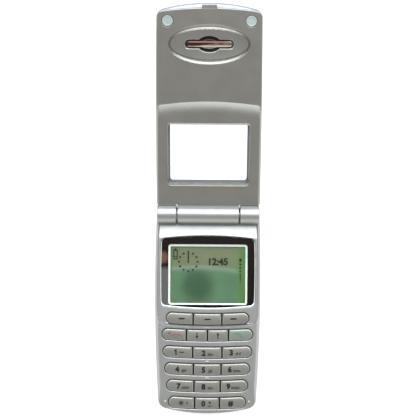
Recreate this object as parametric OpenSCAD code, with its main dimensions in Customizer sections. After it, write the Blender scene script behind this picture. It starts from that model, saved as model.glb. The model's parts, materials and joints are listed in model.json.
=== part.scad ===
// Clamshell telephone, lying on its back with the lid open against its stop.
// +X is to the right, +Y runs from the keypad to the lid, and +Z is up.
// The origin is the centre of the flat back of the base.
// Lengths along the base and the lid are reaches, measured from the hinge axis.

/* [Base] */
// Greatest width of the base
base_w = 46.6; // [45.6:0.2:49]
// Reach of the base from the hinge axis to its tip
base_reach = 87; // [86:0.5:91]
// How far the base runs on behind the hinge axis
base_behind = 3; // [2.6:0.1:3.6]
// Thickness of the base at the keypad
base_t = 15; // [14.8:0.1:17]
// Height of the joint between the front and rear housings
parting_z = 7.5; // [7.3:0.1:7.8]
// Depth of the saddle that holds the display, below the keypad face
saddle_drop = 1.3; // [1.1:0.1:1.5]
// Land between the soft keys and the saddle's end on the centre line
saddle_land = 1; // [0.9:0.05:1.2]
// Radius of the saddle's end in plan
saddle_r = 200; // [150:10:300]
// Width of the slope that climbs from the saddle to the keypad face
saddle_slope = 0.8; // [0.6:0.1:1]
// How far under the lens's end the fall towards the hinge starts
fall_under_lens = 0.85; // [0.5:0.05:1]
// Depth of that fall where it meets the hinge
fall_depth = 2.2; // [1.8:0.1:2.4]

/* [Outline] */
// Radius of the curved tips of the base and the lid
tip_r = 75; // [60:1:100]
// Corner radius at the tip of the base
base_corner_r = 4.3; // [3.5:0.1:5]
// Corner radius at the tip of the lid
lid_corner_r = 4; // [3.5:0.1:5]
// Radius of the long bow of the base's sides
base_bow_r = 777; // [600:1:1000]
// Radius of the long bow of the lid's sides
lid_bow_r = 2800; // [2000:50:4000]
// Reach at which the base is widest
bow_at = 30; // [25:1:35]

/* [Walls] */
// Wall of the moulded housings and covers
wall = 1.3; // [1.1:0.1:1.4]
// Gap left between housings and what they hold
fit_gap = 0.15; // [0.1:0.05:0.2]

/* [Hinge] */
// Radius of the hinge barrel and knuckles
hinge_r = 4.2; // [4:0.1:4.3]
// Distance of each knuckle's outer end from the base's side
knuckle_from_side = 1.2; // [1:0.1:1.5]
// Width of the lid's barrel between the knuckles
barrel_w = 26.6; // [26:0.2:28]
// Gap between the barrel and each knuckle, and round both
hinge_gap = 0.35; // [0.3:0.05:0.4]
// Angle from closed to the open stop
open_angle = 162; // [155:1:168]
// Gap between the keypad face and the lid's panel when closed
closed_gap = 1; // [0.9:0.05:1.2]
// Radius of the cam cartridge inside the barrel
cartridge_r = 2.7; // [2.5:0.1:2.8]
// Radius of the hinge shaft
shaft_r = 1.5; // [1.3:0.1:1.6]
// Outer radius of the hollow sleeve that carries the flex
sleeve_r = 2.2; // [2:0.1:2.3]
// Radial running clearance of shaft and sleeve
running_gap = 0.05; // [0.03:0.01:0.08]

/* [Lid] */
// Width of the lid at the hinge
lid_w = 44.8; // [44.2:0.2:46]
// Reach of the lid's outer cover
lid_reach = 89.5; // [89:0.5:93]
// How far the inner cover stops short of the outer cover's tip
tip_lip = 2.1; // [1.6:0.1:2.6]
// Thickness of the lid from panel face to outer face
lid_t = 6; // [5.8:0.1:7]
// Height of the window plateau above the panel
plateau_rise = 1.3; // [1:0.1:1.4]
// Distance from the plateau's edge to the saddle's end when closed, on the centre line
plateau_gap = 4.9; // [4.6:0.1:5.4]
// Length of the roll from the plateau down to the panel
roll_l = 5.3; // [4.5:0.1:6]
// Radius of the roll's edge in plan
roll_r = 130; // [100:5:180]

/* [Window] */
// Distance of the window opening from the lid's sides
window_from_side = 5.9; // [5.4:0.1:6.4]
// How far the window opening runs past the display panel at each end
window_over = 0.25; // [0:0.05:0.4]
// How far the window's centre lies past the panel's centre
window_shift = 0.4; // [0:0.05:0.5]
// Width of the ledge that the clear window lens seats on
window_ledge = 1.5; // [1.2:0.1:1.8]
// Thickness of the window lens
window_lens_t = 0.8; // [0.6:0.05:0.9]
// Width of the bevelled rim round the window
window_rim = 0.9; // [0.6:0.1:1.2]

/* [Earpiece] */
// Distance of the earpiece's centre from the lid's tip
ear_from_tip = 16.5; // [16:0.1:17.5]
// Half width of the oval groove round the earpiece
ear_half_w = 16.9; // [16:0.1:17.4]
// Half length of the oval groove
ear_half_l = 8.3; // [7.8:0.1:8.8]
// Width of the groove
ear_groove_w = 1.4; // [1:0.1:1.8]
// Half width of the sound slot
slot_half_w = 10; // [9:0.1:11]
// Half length of the sound slot's ends
slot_half_l = 1.7; // [1.4:0.1:2]
// Half width and half length of the slot's swollen middle
slot_middle = [4.9, 3.2]; // [2:0.1:6]
// Radius of the earpiece speaker
ear_speaker_r = 6.5; // [6:0.1:7]

/* [Pads] */
// Radius of the lid's rubber pads
pad_r = 2.3; // [2:0.1:2.6]
// How far the pads stand proud
pad_proud = 0.3; // [0.2:0.05:0.35]
// Distance of each pad's centre from the lid's side
pad_from_side = 5.35; // [5.2:0.05:5.5]
// Distance of the pads' centres from the lid's tip
pad_from_tip = 7.2; // [7:0.05:7.4]
// Radius of the nubs on the base that meet the pads
nub_r = 0.6; // [0.4:0.05:0.8]
// How far the nubs stand proud
nub_proud = 0.55; // [0.4:0.05:0.6]
// Distance of the nubs from the base's side
nub_from_side = 3.5; // [3.3:0.05:3.7]
// Distance of the nubs from the tip of the base
nub_from_tip = 5.8; // [5.4:0.1:6]

/* [Display] */
// Distance of the display lens from the base's sides
lens_from_side = 2.9; // [2.8:0.05:3.3]
// Distance of the display lens from the hinge axis
lens_start = 9.35; // [9.2:0.05:9.8]
// Land between the lens and the soft keys on the centre line
soft_land = 2.15; // [2:0.05:2.4]
// Thickness of the lens
lens_t = 1.25; // [1:0.05:1.3]
// How far the lens stands proud of the saddle
lens_proud = 0.25; // [0.15:0.05:0.3]
// How far the lens's ends bow out
lens_bow = 1.3; // [0.8:0.1:1.6]
// Corner radius of the lens
lens_corner_r = 2.2; // [1.8:0.1:2.6]
// Width of the dark border beside the panel
lens_border_w = 4.1; // [3.9:0.05:4.4]
// Mean length of the dark border above and below the panel
lens_border_l = 3.6; // [3.4:0.1:4]
// How far the panel's centre lies past the lens's centre
lcd_shift = 1; // [0.6:0.1:1.2]
// Width of the pale frame round the panel
lcd_rim = 1; // [0.8:0.05:1.2]

/* [Keys] */
// Length of a key from top to bottom
key_l = 4.8; // [4.4:0.1:5]
// Gap between a key and the edge of its hole
key_gap = 0.2; // [0.15:0.01:0.3]
// Gap between neighbouring keys in a row
key_split = 0.4; // [0.3:0.02:0.5]
// How far the keys stand proud of the face
key_proud = 0.6; // [0.5:0.05:0.65]
// Travel of a pressed key
key_travel = 0.4; // [0.3:0.02:0.5]
// Width of the flange that keeps a key in its hole
key_flange = 0.35; // [0.3:0.05:0.4]
// Radius of the pillow shape across a key's top
key_pillow_r = 9; // [7:0.5:14]
// How far the ends of a row curve up towards the display
row_sag = 0.7; // [0.5:0.05:0.8]
// Distance from one digit row to the next
row_pitch = 7.3; // [7.2:0.05:7.35]
// Land between the last row of keys and the tip of the base
tip_land = 2.7; // [2.6:0.1:4]
// Distance of the first digit row's ends from the base's sides
digits_from_side = 4.1; // [3.9:0.1:4.5]
// Half width lost from one digit row to the next
row_narrowing = 0.84; // [0.6:0.02:1]
// Half width of the middle key in the first digit row
middle_half_w = 6.35; // [6:0.05:6.6]
// Half width that the middle key loses from row to row
middle_narrowing = 0.33; // [0.2:0.01:0.4]
// Distance from the call row to the first digit row
digits_gap = 7.5; // [7.2:0.05:7.8]
// Land between the saddle's end and the call row on the centre line
call_land = 1.1; // [1:0.05:1.4]
// Distance of the call row's ends from the base's sides
call_from_side = 3.7; // [3.5:0.1:4.1]
// Half width of the two arrow keys together
arrows_half_w = 9.1; // [8.8:0.1:9.4]
// Distance of the soft row's ends from the base's sides
soft_from_side = 5.4; // [5.1:0.1:5.9]
// Half width of the middle soft key
soft_middle_w = 6.25; // [6:0.05:6.6]

/* [Battery] */
// Width of the battery pack
battery_w = 34; // [33:0.2:34.4]
// Distance of the battery pack from the tip of the base
battery_from_tip = 11; // [10.8:0.1:12]
// Reach of the battery pack's hinge end
battery_at = 34; // [34:0.1:34.5]
// Thickness of the battery pack
battery_t = 5.2; // [5:0.05:5.2]
// Wall of the battery case
case_wall = 0.7; // [0.6:0.05:0.8]
// Thickness of the bay's floor plate
bay_floor = 0.9; // [0.8:0.05:1]
// Travel of the battery latch
latch_travel = 1.2; // [1:0.1:1.4]

/* [Board] */
// Thickness of the main board
board_t = 0.8; // [0.7:0.05:0.9]
// Distance of the board's edge from the base's outline
board_inset = 2.7; // [2.5:0.1:3]
// Thickness of the dome sheet
dome_t = 0.25; // [0.2:0.05:0.3]

/* [Sockets] */
// Radius of the headset socket's bore
jack_r = 1.27; // [1.2:0.01:1.3]
// Depth of the headset socket's bore
jack_l = 8; // [7.5:0.1:8.5]
// Reach of the headset socket
jack_at = 8.1; // [8:0.1:8.4]
// Radius of its shell
jack_shell_r = 1.9; // [1.7:0.05:2]
// Width of the system connector's slot
connector_w = 14; // [12:0.2:16]
// Height of the system connector's slot
connector_h = 2; // [1.8:0.05:2.1]

/* [Fasteners] */
// Radius of a screw's shank
screw_r = 0.7; // [0.6:0.05:0.8]
// Radius of a screw's head
screw_head_r = 1.4; // [1.3:0.05:1.5]
// Radius of a screw boss
boss_r = 1.9; // [1.8:0.05:2]
// Distance of the tip bosses from the base's side
boss_from_side = 3.6; // [3.4:0.05:3.8]
// Distance of the tip bosses from the tip of the base
boss_from_tip = 8.9; // [8.8:0.05:9.1]

/* [Hidden] */

$fn = 48;
// Small overrun of a cut past the face that it opens
cut = 0.5;

// Colours of the finishes
silver = [0.62, 0.63, 0.62];
pale_silver = [0.74, 0.76, 0.77];
key_silver = [0.68, 0.69, 0.68];
dark_plastic = [0.16, 0.16, 0.17];
tin = [0.72, 0.72, 0.70];
board_green = [0.08, 0.33, 0.20];

// Places along the base, from the tip back to the hinge
digits_at = base_reach - tip_land - key_l / 2 - 3 * row_pitch;
call_at = digits_at - digits_gap;
saddle_reach = call_at - key_l / 2 - call_land;
soft_at = saddle_reach - saddle_land - key_l / 2;
lens_l = soft_at - key_l / 2 - soft_land - lens_start;
lens_at = lens_start + lens_l / 2;
lcd_l = lens_l - 2 * lens_border_l;
lcd_at = lens_at + lcd_shift;
fall_reach = lens_start + fall_under_lens;

// Widths that follow the base's width
hinge_w = base_w - 2 * knuckle_from_side;
lens_w = base_w - 2 * lens_from_side;
lcd_w = lens_w - 2 * lens_border_w;
digits_half_w = base_w / 2 - digits_from_side;
call_half_w = base_w / 2 - call_from_side;
soft_half_w = base_w / 2 - soft_from_side;

// Battery bay, and the latch that holds the battery
battery_l = base_reach - battery_at - battery_from_tip;
battery_mid = battery_at + battery_l / 2;
bay_top = battery_t + fit_gap;
plate_top = bay_top + bay_floor;
contacts_at = battery_at + 5;
latch_at = battery_at - 3;
latch_size = [11, 3.2, 1.1];
latch_z = 0.3;

// Places along the lid
window_w = lid_w - 2 * window_from_side;
window_l = lcd_l + 2 * window_over;
window_at = lcd_at + window_shift;
plateau_reach = saddle_reach - plateau_gap;
ear_at = lid_reach - ear_from_tip;
pad_at = lid_reach - pad_from_tip;
pad_x = lid_w / 2 - pad_from_side;

// Hinge axis, and the lid's tilt above level when it is open
hinge_y = (base_reach - base_behind) / 2;
hinge_z = base_t + closed_gap / 2;
rest_tilt = 180 - open_angle;

// Levels in the base, from the back up
saddle_z = base_t - saddle_drop;
lens_z = saddle_z + lens_proud - lens_t;
mask_t = 0.15;
ledge_z = lens_z - mask_t;
ledge_t = 0.75;
saddle_ceiling = ledge_z - ledge_t;
keypad_ceiling = base_t - wall - 0.1;
lcd_frame_t = 0.5;
lcd_t = 0.8;
lcd_top = saddle_ceiling - lcd_frame_t - 0.1;
guide_t = 0.8;
board_z = parting_z;
board_top = board_z + board_t;
stem_z = board_top + 2.6;
mat_top = stem_z - key_travel - 0.1;
mat_margin = 3.8;
can_h = board_z - plate_top - 0.1;
can_w = battery_w - 4;

// Levels in the lid, in its own frame, with the hinge axis at zero
panel_h = -closed_gap / 2;
plateau_h = panel_h + plateau_rise;
outer_h = panel_h - lid_t;
rim_h = panel_h - 1.4;
floor_h = outer_h + wall;
lid_start = hinge_r + hinge_gap + 0.05;
knuckle_in = barrel_w / 2 + hinge_gap;
sleeve_in = barrel_w / 2 - 6.3;

// Rows of keys: reach, half width, edges between keys, and the face they stand on
function digit_row(i) =
    let (w = digits_half_w - i * row_narrowing, m = middle_half_w - i * middle_narrowing)
    [digits_at + i * row_pitch, w, [-w, -m, m, w], base_t];
soft_row = [soft_at, soft_half_w, [-soft_half_w, -soft_middle_w, soft_middle_w, soft_half_w],
    saddle_z];
call_row = [call_at, call_half_w, [-call_half_w, -arrows_half_w, 0, arrows_half_w, call_half_w],
    base_t];
ROWS = [soft_row, call_row, digit_row(0), digit_row(1), digit_row(2), digit_row(3)];

// Half width of the base at a reach along it
function base_side(u) = base_w / 2 - pow(u - bow_at, 2) / (2 * base_bow_r);

// Places of the screws and of the nubs: x and reach
function both_sides(x, u) = [[-x, u], [x, u]];
tip_screw_at = base_reach - boss_from_tip;
tip_screw_places = both_sides(base_side(tip_screw_at) - boss_from_side, tip_screw_at);
hinge_screw_in = 4.5;
base_screw_places = concat(both_sides(hinge_w / 2 - hinge_screw_in, 3.2), tip_screw_places);
lid_screw_places = both_sides(pad_x, pad_at);
nub_at = base_reach - nub_from_tip;
nub_places = both_sides(base_side(nub_at) - nub_from_side, nub_at);
screw_head_t = 0.9;
screw_bite = 2.6;
boss_h = 4.6;
lid_seat_h = rim_h - 0.2;
register_l = 1.2;

// Headset socket, system connector and microphone
jack_z = parting_z + jack_shell_r;
jack_body_w = 4.4;
jack_body_l = 9.5;
jack_inset = 2;
connector_d = 5;
connector_at = base_reach - 4.4;
mic_place = [connector_w / 2 + 4.7, base_reach - 6];

// Ringer, vibration motor, card holder and antenna
grille_place = [-9, 12];
grille_pitch = 2;
ringer_r = 6.4;
ringer_t = 3.2;
backup_place = [11, 12];
backup_t = 1.3;
motor_place = [4.2, 19.5];
motor_r = 1.9;
motor_l = 7;
motor_z = wall + 0.2 + motor_r;
weight_r = 1.7;
sim_size = [25, 15, 0.76];
sim_z = plate_top - 0.9;
sim_rim = 1.5;
rf_at = latch_at - 8;
baseband_start = battery_mid + sim_size[1] / 2 + sim_rim + 0.5;
baseband_end = connector_at - connector_d / 2 - 1.6;
antenna_at = 1.3;
antenna_w = 2 * (hinge_w / 2 - hinge_screw_in - boss_r) - 1.4;
baseband_w = 2 * (tip_screw_places[1][0] - boss_r) - 2.6;

// Lining of the window in the lid, and the flex along the lid's side
lining_w = 1.1;
flex_start = 8;
flex_t = 0.2;
channel_in = window_w / 2 + lining_w;
channel_out = lid_w / 2 - wall - 1.05;
flex_w = (channel_out - channel_in) / 2;

// ---- Shared outlines ----

function reversed(v) = [for (i = [len(v) - 1:-1:0]) v[i]];

// Right half of a shell's outline from the tip's centre back to the hinge end, as [x, reach]
function half_outline(tip, half_w, back, radius, corner, at, bow) =
    let (
        side = function (u) half_w - pow(u - at, 2) / (2 * bow),
        cx = side(tip - 1.6 * corner) - corner,
        cu = tip - radius + sqrt(pow(radius - corner, 2) - cx * cx),
        turn = atan2(cu - tip + radius, cx)
    )
    concat(
        [for (i = [0:7]) let (a = 90 + (turn - 90) * i / 8)
            [radius * cos(a), tip - radius + radius * sin(a)]],
        [for (i = [0:6]) let (a = turn * (1 - i / 6)) [cx + corner * cos(a), cu + corner * sin(a)]],
        [for (i = [1:7]) let (u = cu + (back - cu) * i / 7) [side(u), u]]
    );

// Whole outline, counter-clockwise, from a right half
function whole_outline(half) =
    concat(reversed(half), [for (i = [1:len(half) - 1]) [-half[i][0], half[i][1]]]);

// Outline of the base, drawn in by inset, with its hinge end drawn in by behind
function base_outline(inset, behind = 0) = reversed([
    for (p = whole_outline(half_outline(base_reach - inset, base_w / 2 - inset,
        behind - base_behind, tip_r - inset, max(base_corner_r - inset, 0.8), bow_at, base_bow_r)))
    [p[0], hinge_y - p[1]]
]);

// Outline of the lid in its own frame, with the tip drawn in by a further lip
function lid_outline(inset, lip = 0, start = lid_start) =
    whole_outline(half_outline(lid_reach - inset - lip, lid_w / 2 - inset, start,
        tip_r - inset, max(lid_corner_r - inset, 0.8), 10, lid_bow_r));

function rounded_rect(w, l, r, n = 5) = [
    for (q = [[1, 1, 0], [-1, 1, 90], [-1, -1, 180], [1, -1, 270]]) each
        [for (i = [0:n]) let (a = q[2] + 90 * i / n)
            [q[0] * (w / 2 - r) + r * cos(a), q[1] * (l / 2 - r) + r * sin(a)]]
];

function oval(half_w, half_l, n = 48) =
    [for (i = [0:n - 1]) let (a = 360 * i / n) [half_w * cos(a), half_l * sin(a)]];

// Display lens outline: straight-sided with bowed ends and round corners
function lens_outline(w, l, bow, r) =
    let (
        end_r = (w * w / 4 + bow * bow) / (2 * bow),
        cx = w / 2 - r,
        cy = l / 2 - end_r + sqrt(pow(end_r - r, 2) - cx * cx),
        turn = atan2(cy - l / 2 + end_r, cx),
        quarter = concat(
            [for (i = [0:5]) let (a = turn * i / 5) [cx + r * cos(a), cy + r * sin(a)]],
            [for (i = [1:6]) let (a = turn + (90 - turn) * i / 6)
                [end_r * cos(a), l / 2 - end_r + end_r * sin(a)]]
        ),
        back = reversed(quarter)
    )
    concat(
        quarter,
        [for (i = [1:len(back) - 1]) [-back[i][0], back[i][1]]],
        [for (p = quarter) [-p[0], -p[1]]],
        [for (i = [1:len(back) - 1]) [back[i][0], -back[i][1]]]
    );

// ---- Keys in plan ----

function row_y(row, x) = hinge_y - row[0] + row_sag * pow(x / row[1], 2);

// Outline of what fills a row from x0 to x1, grown by grow, with round ends at the row's ends
function key_outline(row, x0, x1, grow = 0) =
    let (
        hh = key_l / 2 + grow,
        bend = row[1] - key_l / 2,
        left_round = x0 <= -row[1],
        right_round = x1 >= row[1],
        xa = left_round ? -bend : x0,
        xb = right_round ? bend : x1,
        edge = [for (i = [0:6]) xa + (xb - xa) * i / 6]
    )
    concat(
        [for (x = edge) [x, row_y(row, x) - hh]],
        right_round
            ? [for (a = [-75:15:75]) [bend + hh * cos(a), row_y(row, bend) + hh * sin(a)]] : [],
        [for (x = reversed(edge)) [x, row_y(row, x) + hh]],
        left_round
            ? [for (a = [105:15:255]) [-bend + hh * cos(a), row_y(row, bend) + hh * sin(a)]] : []
    );

// ---- Shared solids ----

module prism(points, z0, z1) {
    translate([0, 0, z0]) linear_extrude(z1 - z0) polygon(points);
}

// Closed skin through an outline at rising levels, each [height, inset]
module loft(levels, outline) {
    rings = [for (l = levels) [for (p = outline(l[1])) [p[0], p[1], l[0]]]];
    n = len(rings[0]);
    top = (len(rings) - 1) * n;
    polyhedron(
        points = [for (r = rings) each r],
        faces = concat(
            [[for (i = [0:n - 1]) i]],
            [for (j = [0:len(rings) - 2], i = [0:n - 1]) each
                let (a = j * n + i, b = j * n + (i + 1) % n)
                [[a, a + n, b + n], [a, b + n, b]]],
            [[for (i = [n - 1:-1:0]) top + i]]
        )
    );
}

// Box across the base between two reaches and two heights
module base_slab(u0, u1, z0, z1, half_w = base_w) {
    translate([-half_w, hinge_y - u1, z0]) cube([2 * half_w, u1 - u0, z1 - z0]);
}

// Box in the base given by its centre x, its reach and its own size
module base_block(x, u, z0, size) {
    translate([x - size[0] / 2, hinge_y - u - size[1] / 2, z0]) cube(size);
}

module at_base(x, u, z = 0) {
    translate([x, hinge_y - u, z]) children();
}

// Puts what is drawn in the lid's own frame where the open lid is
module on_lid() {
    translate([0, hinge_y, hinge_z]) rotate([rest_tilt, 0, 0]) children();
}

// Bar along X, from x0 to x1, on the hinge axis
module hinge_bar(r, x0, x1) {
    translate([x0, 0, 0]) rotate([0, 90, 0]) cylinder(r = r, h = x1 - x0);
}

module at_hinge() {
    translate([0, hinge_y, hinge_z]) children();
}

// Screw pointing up from its head at z0
module screw(z0, z1) {
    translate([0, 0, z0]) difference() {
        union() {
            cylinder(r = screw_head_r, h = screw_head_t);
            cylinder(r = screw_r, h = z1 - z0);
        }
        for (a = [0, 90]) rotate(a) translate([-0.9, -0.15, -cut]) cube([1.8, 0.3, cut + 0.35]);
    }
}

// ---- Front housing ----

// Solid outer form of the front housing up to a given top level
module front_form(top) {
    drop = top - parting_z;
    loft([
        [parting_z, 0.5], [parting_z + drop * 0.5, 0.6], [top - 1.6, 0.85], [top - 0.8, 1.25],
        [top - 0.25, 1.65], [top, 2.1]
    ], function (d) base_outline(d));
}

// Everything on the hinge side of the saddle's end, with a sloping wall
module saddle_bowl() {
    at_base(0, saddle_reach - saddle_r) rotate_extrude($fn = 180) polygon([
        [0, saddle_z - 4], [saddle_r - saddle_slope, saddle_z - 4],
        [saddle_r - saddle_slope, saddle_z], [saddle_r - saddle_slope * 0.5, saddle_z + 0.5],
        [saddle_r, base_t], [saddle_r, base_t + cut], [0, base_t + cut]
    ]);
}

// What falls away from the saddle towards the hinge, above the base's surface
module hinge_fall() {
    foot = saddle_z - fall_depth;
    rotate([90, 0, 90]) translate([0, 0, -base_w]) linear_extrude(2 * base_w) polygon([
        [hinge_y - fall_reach, saddle_z], [hinge_y - hinge_r, foot],
        [hinge_y - hinge_r, foot - 0.5], [hinge_y + base_behind + 2, foot - 0.5],
        [hinge_y + base_behind + 2, base_t + 2], [hinge_y - fall_reach, base_t + 2]
    ]);
}

module knuckles() {
    length = hinge_w / 2 - knuckle_in;
    for (s = [-1, 1]) at_hinge() {
        translate([s * (knuckle_in + length / 2), 0, 0]) {
            rotate([0, 90, 0]) cylinder(r = hinge_r, h = length, center = true);
            translate([-length / 2, -hinge_r + 0.4, parting_z - hinge_z])
                cube([length, hinge_r - 0.4 + base_behind, hinge_z - parting_z]);
        }
    }
}

module front_cavity() {
    inside = base_outline(0.5 + wall, base_behind + hinge_r + 1.2);
    intersection() {
        prism(inside, parting_z - cut, keypad_ceiling);
        union() {
            base_slab(0, fall_reach + 1, parting_z - cut, saddle_z - fall_depth - wall - 0.6);
            base_slab(fall_reach + 0.8, saddle_reach, parting_z - cut, saddle_ceiling);
            base_slab(saddle_reach - 0.3, base_reach, parting_z - cut, keypad_ceiling);
        }
    }
}

module front_housing() {
    color(silver) difference() {
        union() {
            difference() {
                front_form(base_t);
                saddle_bowl();
                base_slab(-base_behind - 1, saddle_reach - 12, saddle_z - 4, base_t + cut);
            }
            difference() {
                front_form(saddle_z);
                hinge_fall();
            }
            knuckles();
            for (p = nub_places) at_base(p[0], p[1], base_t - 0.4)
                cylinder(r = nub_r, h = 0.4 + nub_proud);
            for (p = tip_screw_places) at_base(p[0], p[1], parting_z)
                cylinder(r = boss_r, h = boss_h);
        }
        difference() {
            front_cavity();
            for (p = tip_screw_places) at_base(p[0], p[1], parting_z - 1)
                cylinder(r = boss_r, h = boss_h + 1);
        }
        at_hinge() hinge_bar(hinge_r + hinge_gap, -knuckle_in, knuckle_in);
        at_hinge() hinge_bar(shaft_r + running_gap, 0, hinge_w / 2 - 1.2);
        at_hinge() hinge_bar(sleeve_r + running_gap, -hinge_w / 2 + 1.2, 0);
        at_base(0, lens_at) prism(lens_outline(lens_w + 2 * fit_gap, lens_l + 2 * fit_gap,
            lens_bow, lens_corner_r), ledge_z, base_t + 1);
        at_base(0, lcd_at) prism(rounded_rect(lcd_w + 2 * lcd_rim + 1.2, lcd_l + 2 * lcd_rim + 1.2, 1.2),
            saddle_ceiling - cut, base_t);
        for (row = ROWS)
            prism(key_outline(row, -row[1], row[1], key_gap), board_top, base_t + cut);
        for (p = base_screw_places)
            at_base(p[0], p[1], parting_z - cut) cylinder(r = screw_r, h = cut + screw_bite);
        at_base(base_w / 2, jack_at, jack_z) rotate([0, -90, 0])
            cylinder(r = jack_shell_r + fit_gap, h = 3);
        jack_box(fit_gap, parting_z - cut, jack_z + jack_shell_r, 0.4);
    }
}

// ---- Headset socket ----

// Box that holds the socket's body, grown sideways and at its outer end
module jack_box(grow, z0, z1, outward = 0) {
    at_base(base_w / 2 - jack_inset - jack_body_l, jack_at, z0) translate([0, -jack_body_w / 2 - grow, 0])
        cube([jack_body_l + outward, jack_body_w + 2 * grow, z1 - z0]);
}

module headset_socket() {
    color(dark_plastic) difference() {
        union() {
            jack_box(0, jack_z - jack_shell_r + 0.1, jack_z + jack_shell_r - 0.1);
            at_base(base_w / 2 - 0.9, jack_at, jack_z) rotate([0, -90, 0])
                cylinder(r = jack_shell_r, h = 2);
        }
        at_base(base_w / 2 - 0.9, jack_at, jack_z) rotate([0, -90, 0])
            cylinder(r = jack_r, h = jack_l);
    }
}

// ---- Rear housing ----

module rear_form() {
    loft([
        [0, 4.4], [0.25, 3], [0.9, 1.8], [2, 0.85], [3.6, 0.25], [5.5, 0], [parting_z - 0.6, 0],
        [parting_z, 0.35]
    ], function (d) base_outline(d, d * 0.4));
}

module battery_bay() {
    at_base(0, battery_mid) prism(rounded_rect(battery_w + 2 * fit_gap, battery_l + 2 * fit_gap,
        2 + fit_gap), -cut, bay_top);
}

module rear_cavity() {
    intersection() {
        prism(base_outline(0.35 + wall, wall), wall, parting_z + cut);
        union() {
            base_slab(-base_behind, base_reach, plate_top, parting_z + cut);
            base_slab(-base_behind, latch_at - 4, wall, parting_z + cut);
            base_slab(connector_at - connector_d / 2 + 1.3, base_reach, wall + 1.2, parting_z + cut);
        }
    }
}

module rear_housing() {
    color(silver) difference() {
        union() {
            difference() {
                rear_form();
                rear_cavity();
            }
            for (p = base_screw_places) at_base(p[0], p[1], wall)
                cylinder(r = boss_r, h = parting_z - wall);
        }
        battery_bay();
        for (p = base_screw_places) at_base(p[0], p[1], 0) {
            translate([0, 0, -cut]) cylinder(r = screw_head_r + 0.25, h = cut + parting_z - 3);
            cylinder(r = screw_r + 0.15, h = parting_z + cut);
        }
        base_block(0, latch_at, -cut, [latch_size[0] + 0.6, latch_size[1] + 0.6 + 2 * latch_travel,
            cut + latch_z + latch_size[2] + 0.3]);
        for (i = [-2:2], j = [-1:1])
            at_base(grille_place[0] + i * grille_pitch, grille_place[1] + j * grille_pitch, -cut)
                cylinder(r = 0.5, h = wall + 2 * cut);
        base_block(0, base_reach - 1, plate_top - connector_h - 0.2,
            [connector_w + 0.4, 8, connector_h + 0.2]);
        base_block(0, connector_at, plate_top - connector_h - 0.2,
            [connector_w + 2.4, connector_d + 0.4, connector_h + 3]);
        at_base(base_w / 2, jack_at, jack_z) rotate([0, -90, 0])
            cylinder(r = jack_shell_r + fit_gap, h = 14);
        at_base(mic_place[0], base_reach, board_z - can_h / 2) rotate([90, 0, 0])
            cylinder(r = 0.45, h = 10, center = true);
        base_block(0, contacts_at, bay_top - cut, [10.4, 3.2, bay_floor + 2 * cut]);
        base_block(0, battery_mid, bay_top - cut,
            [sim_size[0] + 2 * sim_rim + 0.4, sim_size[1] + 2 * sim_rim + 0.4, bay_floor + 2 * cut]);
    }
}

// ---- Display ----

module display_lens() {
    color([0.75, 0.8, 0.82, 0.35]) at_base(0, lens_at)
        prism(lens_outline(lens_w, lens_l, lens_bow, lens_corner_r), lens_z, lens_z + lens_t);
}

module display_mask() {
    color([0.13, 0.10, 0.09]) difference() {
        at_base(0, lens_at)
            prism(lens_outline(lens_w, lens_l, lens_bow, lens_corner_r), ledge_z, lens_z);
        at_base(0, lcd_at) prism(rounded_rect(lcd_w + 2 * lcd_rim, lcd_l + 2 * lcd_rim, 1),
            ledge_z - cut, lens_z + cut);
    }
}

module lcd_frame() {
    color("white") difference() {
        at_base(0, lcd_at) prism(rounded_rect(lcd_w + 2 * lcd_rim + 0.8, lcd_l + 2 * lcd_rim + 0.8, 1),
            lcd_top, lcd_top + lcd_frame_t);
        at_base(0, lcd_at) prism(rounded_rect(lcd_w, lcd_l, 0.4),
            lcd_top - cut, lcd_top + lcd_frame_t + cut);
    }
}

module lcd_panel() {
    color([0.42, 0.55, 0.36])
        base_block(0, lcd_at, lcd_top - lcd_t, [lcd_w + 2, lcd_l + 2, lcd_t]);
}

module backlight_guide() {
    color([0.85, 0.9, 0.85])
        base_block(0, lcd_at, lcd_top - lcd_t - 0.1 - guide_t, [lcd_w + 1.6, lcd_l + 1.6, guide_t]);
}

module lcd_holder() {
    top = lcd_top - lcd_t - 0.05;
    color([0.9, 0.9, 0.88]) difference() {
        base_block(0, lcd_at, board_top, [lcd_w + 4, lcd_l + 4, top - board_top]);
        base_block(0, lcd_at, top - 0.9, [lcd_w + 2, lcd_l + 2, 1 + cut]);
        base_block(0, lcd_at, board_top - cut, [lcd_w - 3, lcd_l - 3, 3]);
    }
}

// ---- Keypad ----

// One key of a row: its top, its flange under the housing and its stem
module one_key(row, place) {
    edges = row[2];
    x0 = edges[place] + (place == 0 ? 0 : key_split / 2);
    x1 = edges[place + 1] - (place == len(edges) - 2 ? 0 : key_split / 2);
    top = row[3] + key_proud;
    ceiling = row[3] == base_t ? keypad_ceiling : saddle_ceiling;
    mid = (x0 + x1) / 2;
    color(key_silver) {
        intersection() {
            prism(key_outline(row, x0, x1), stem_z, top);
            translate([x0 - 1, row_y(row, mid), top - key_pillow_r]) rotate([0, 90, 0])
                cylinder(r = key_pillow_r, h = x1 - x0 + 2, $fn = 96);
        }
        intersection() {
            prism(key_outline(row, x0, x1, key_gap + key_flange), ceiling - 0.8, ceiling - 0.15);
            prism(base_outline(0.5 + wall + fit_gap), 0, base_t);
        }
    }
}

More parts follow.
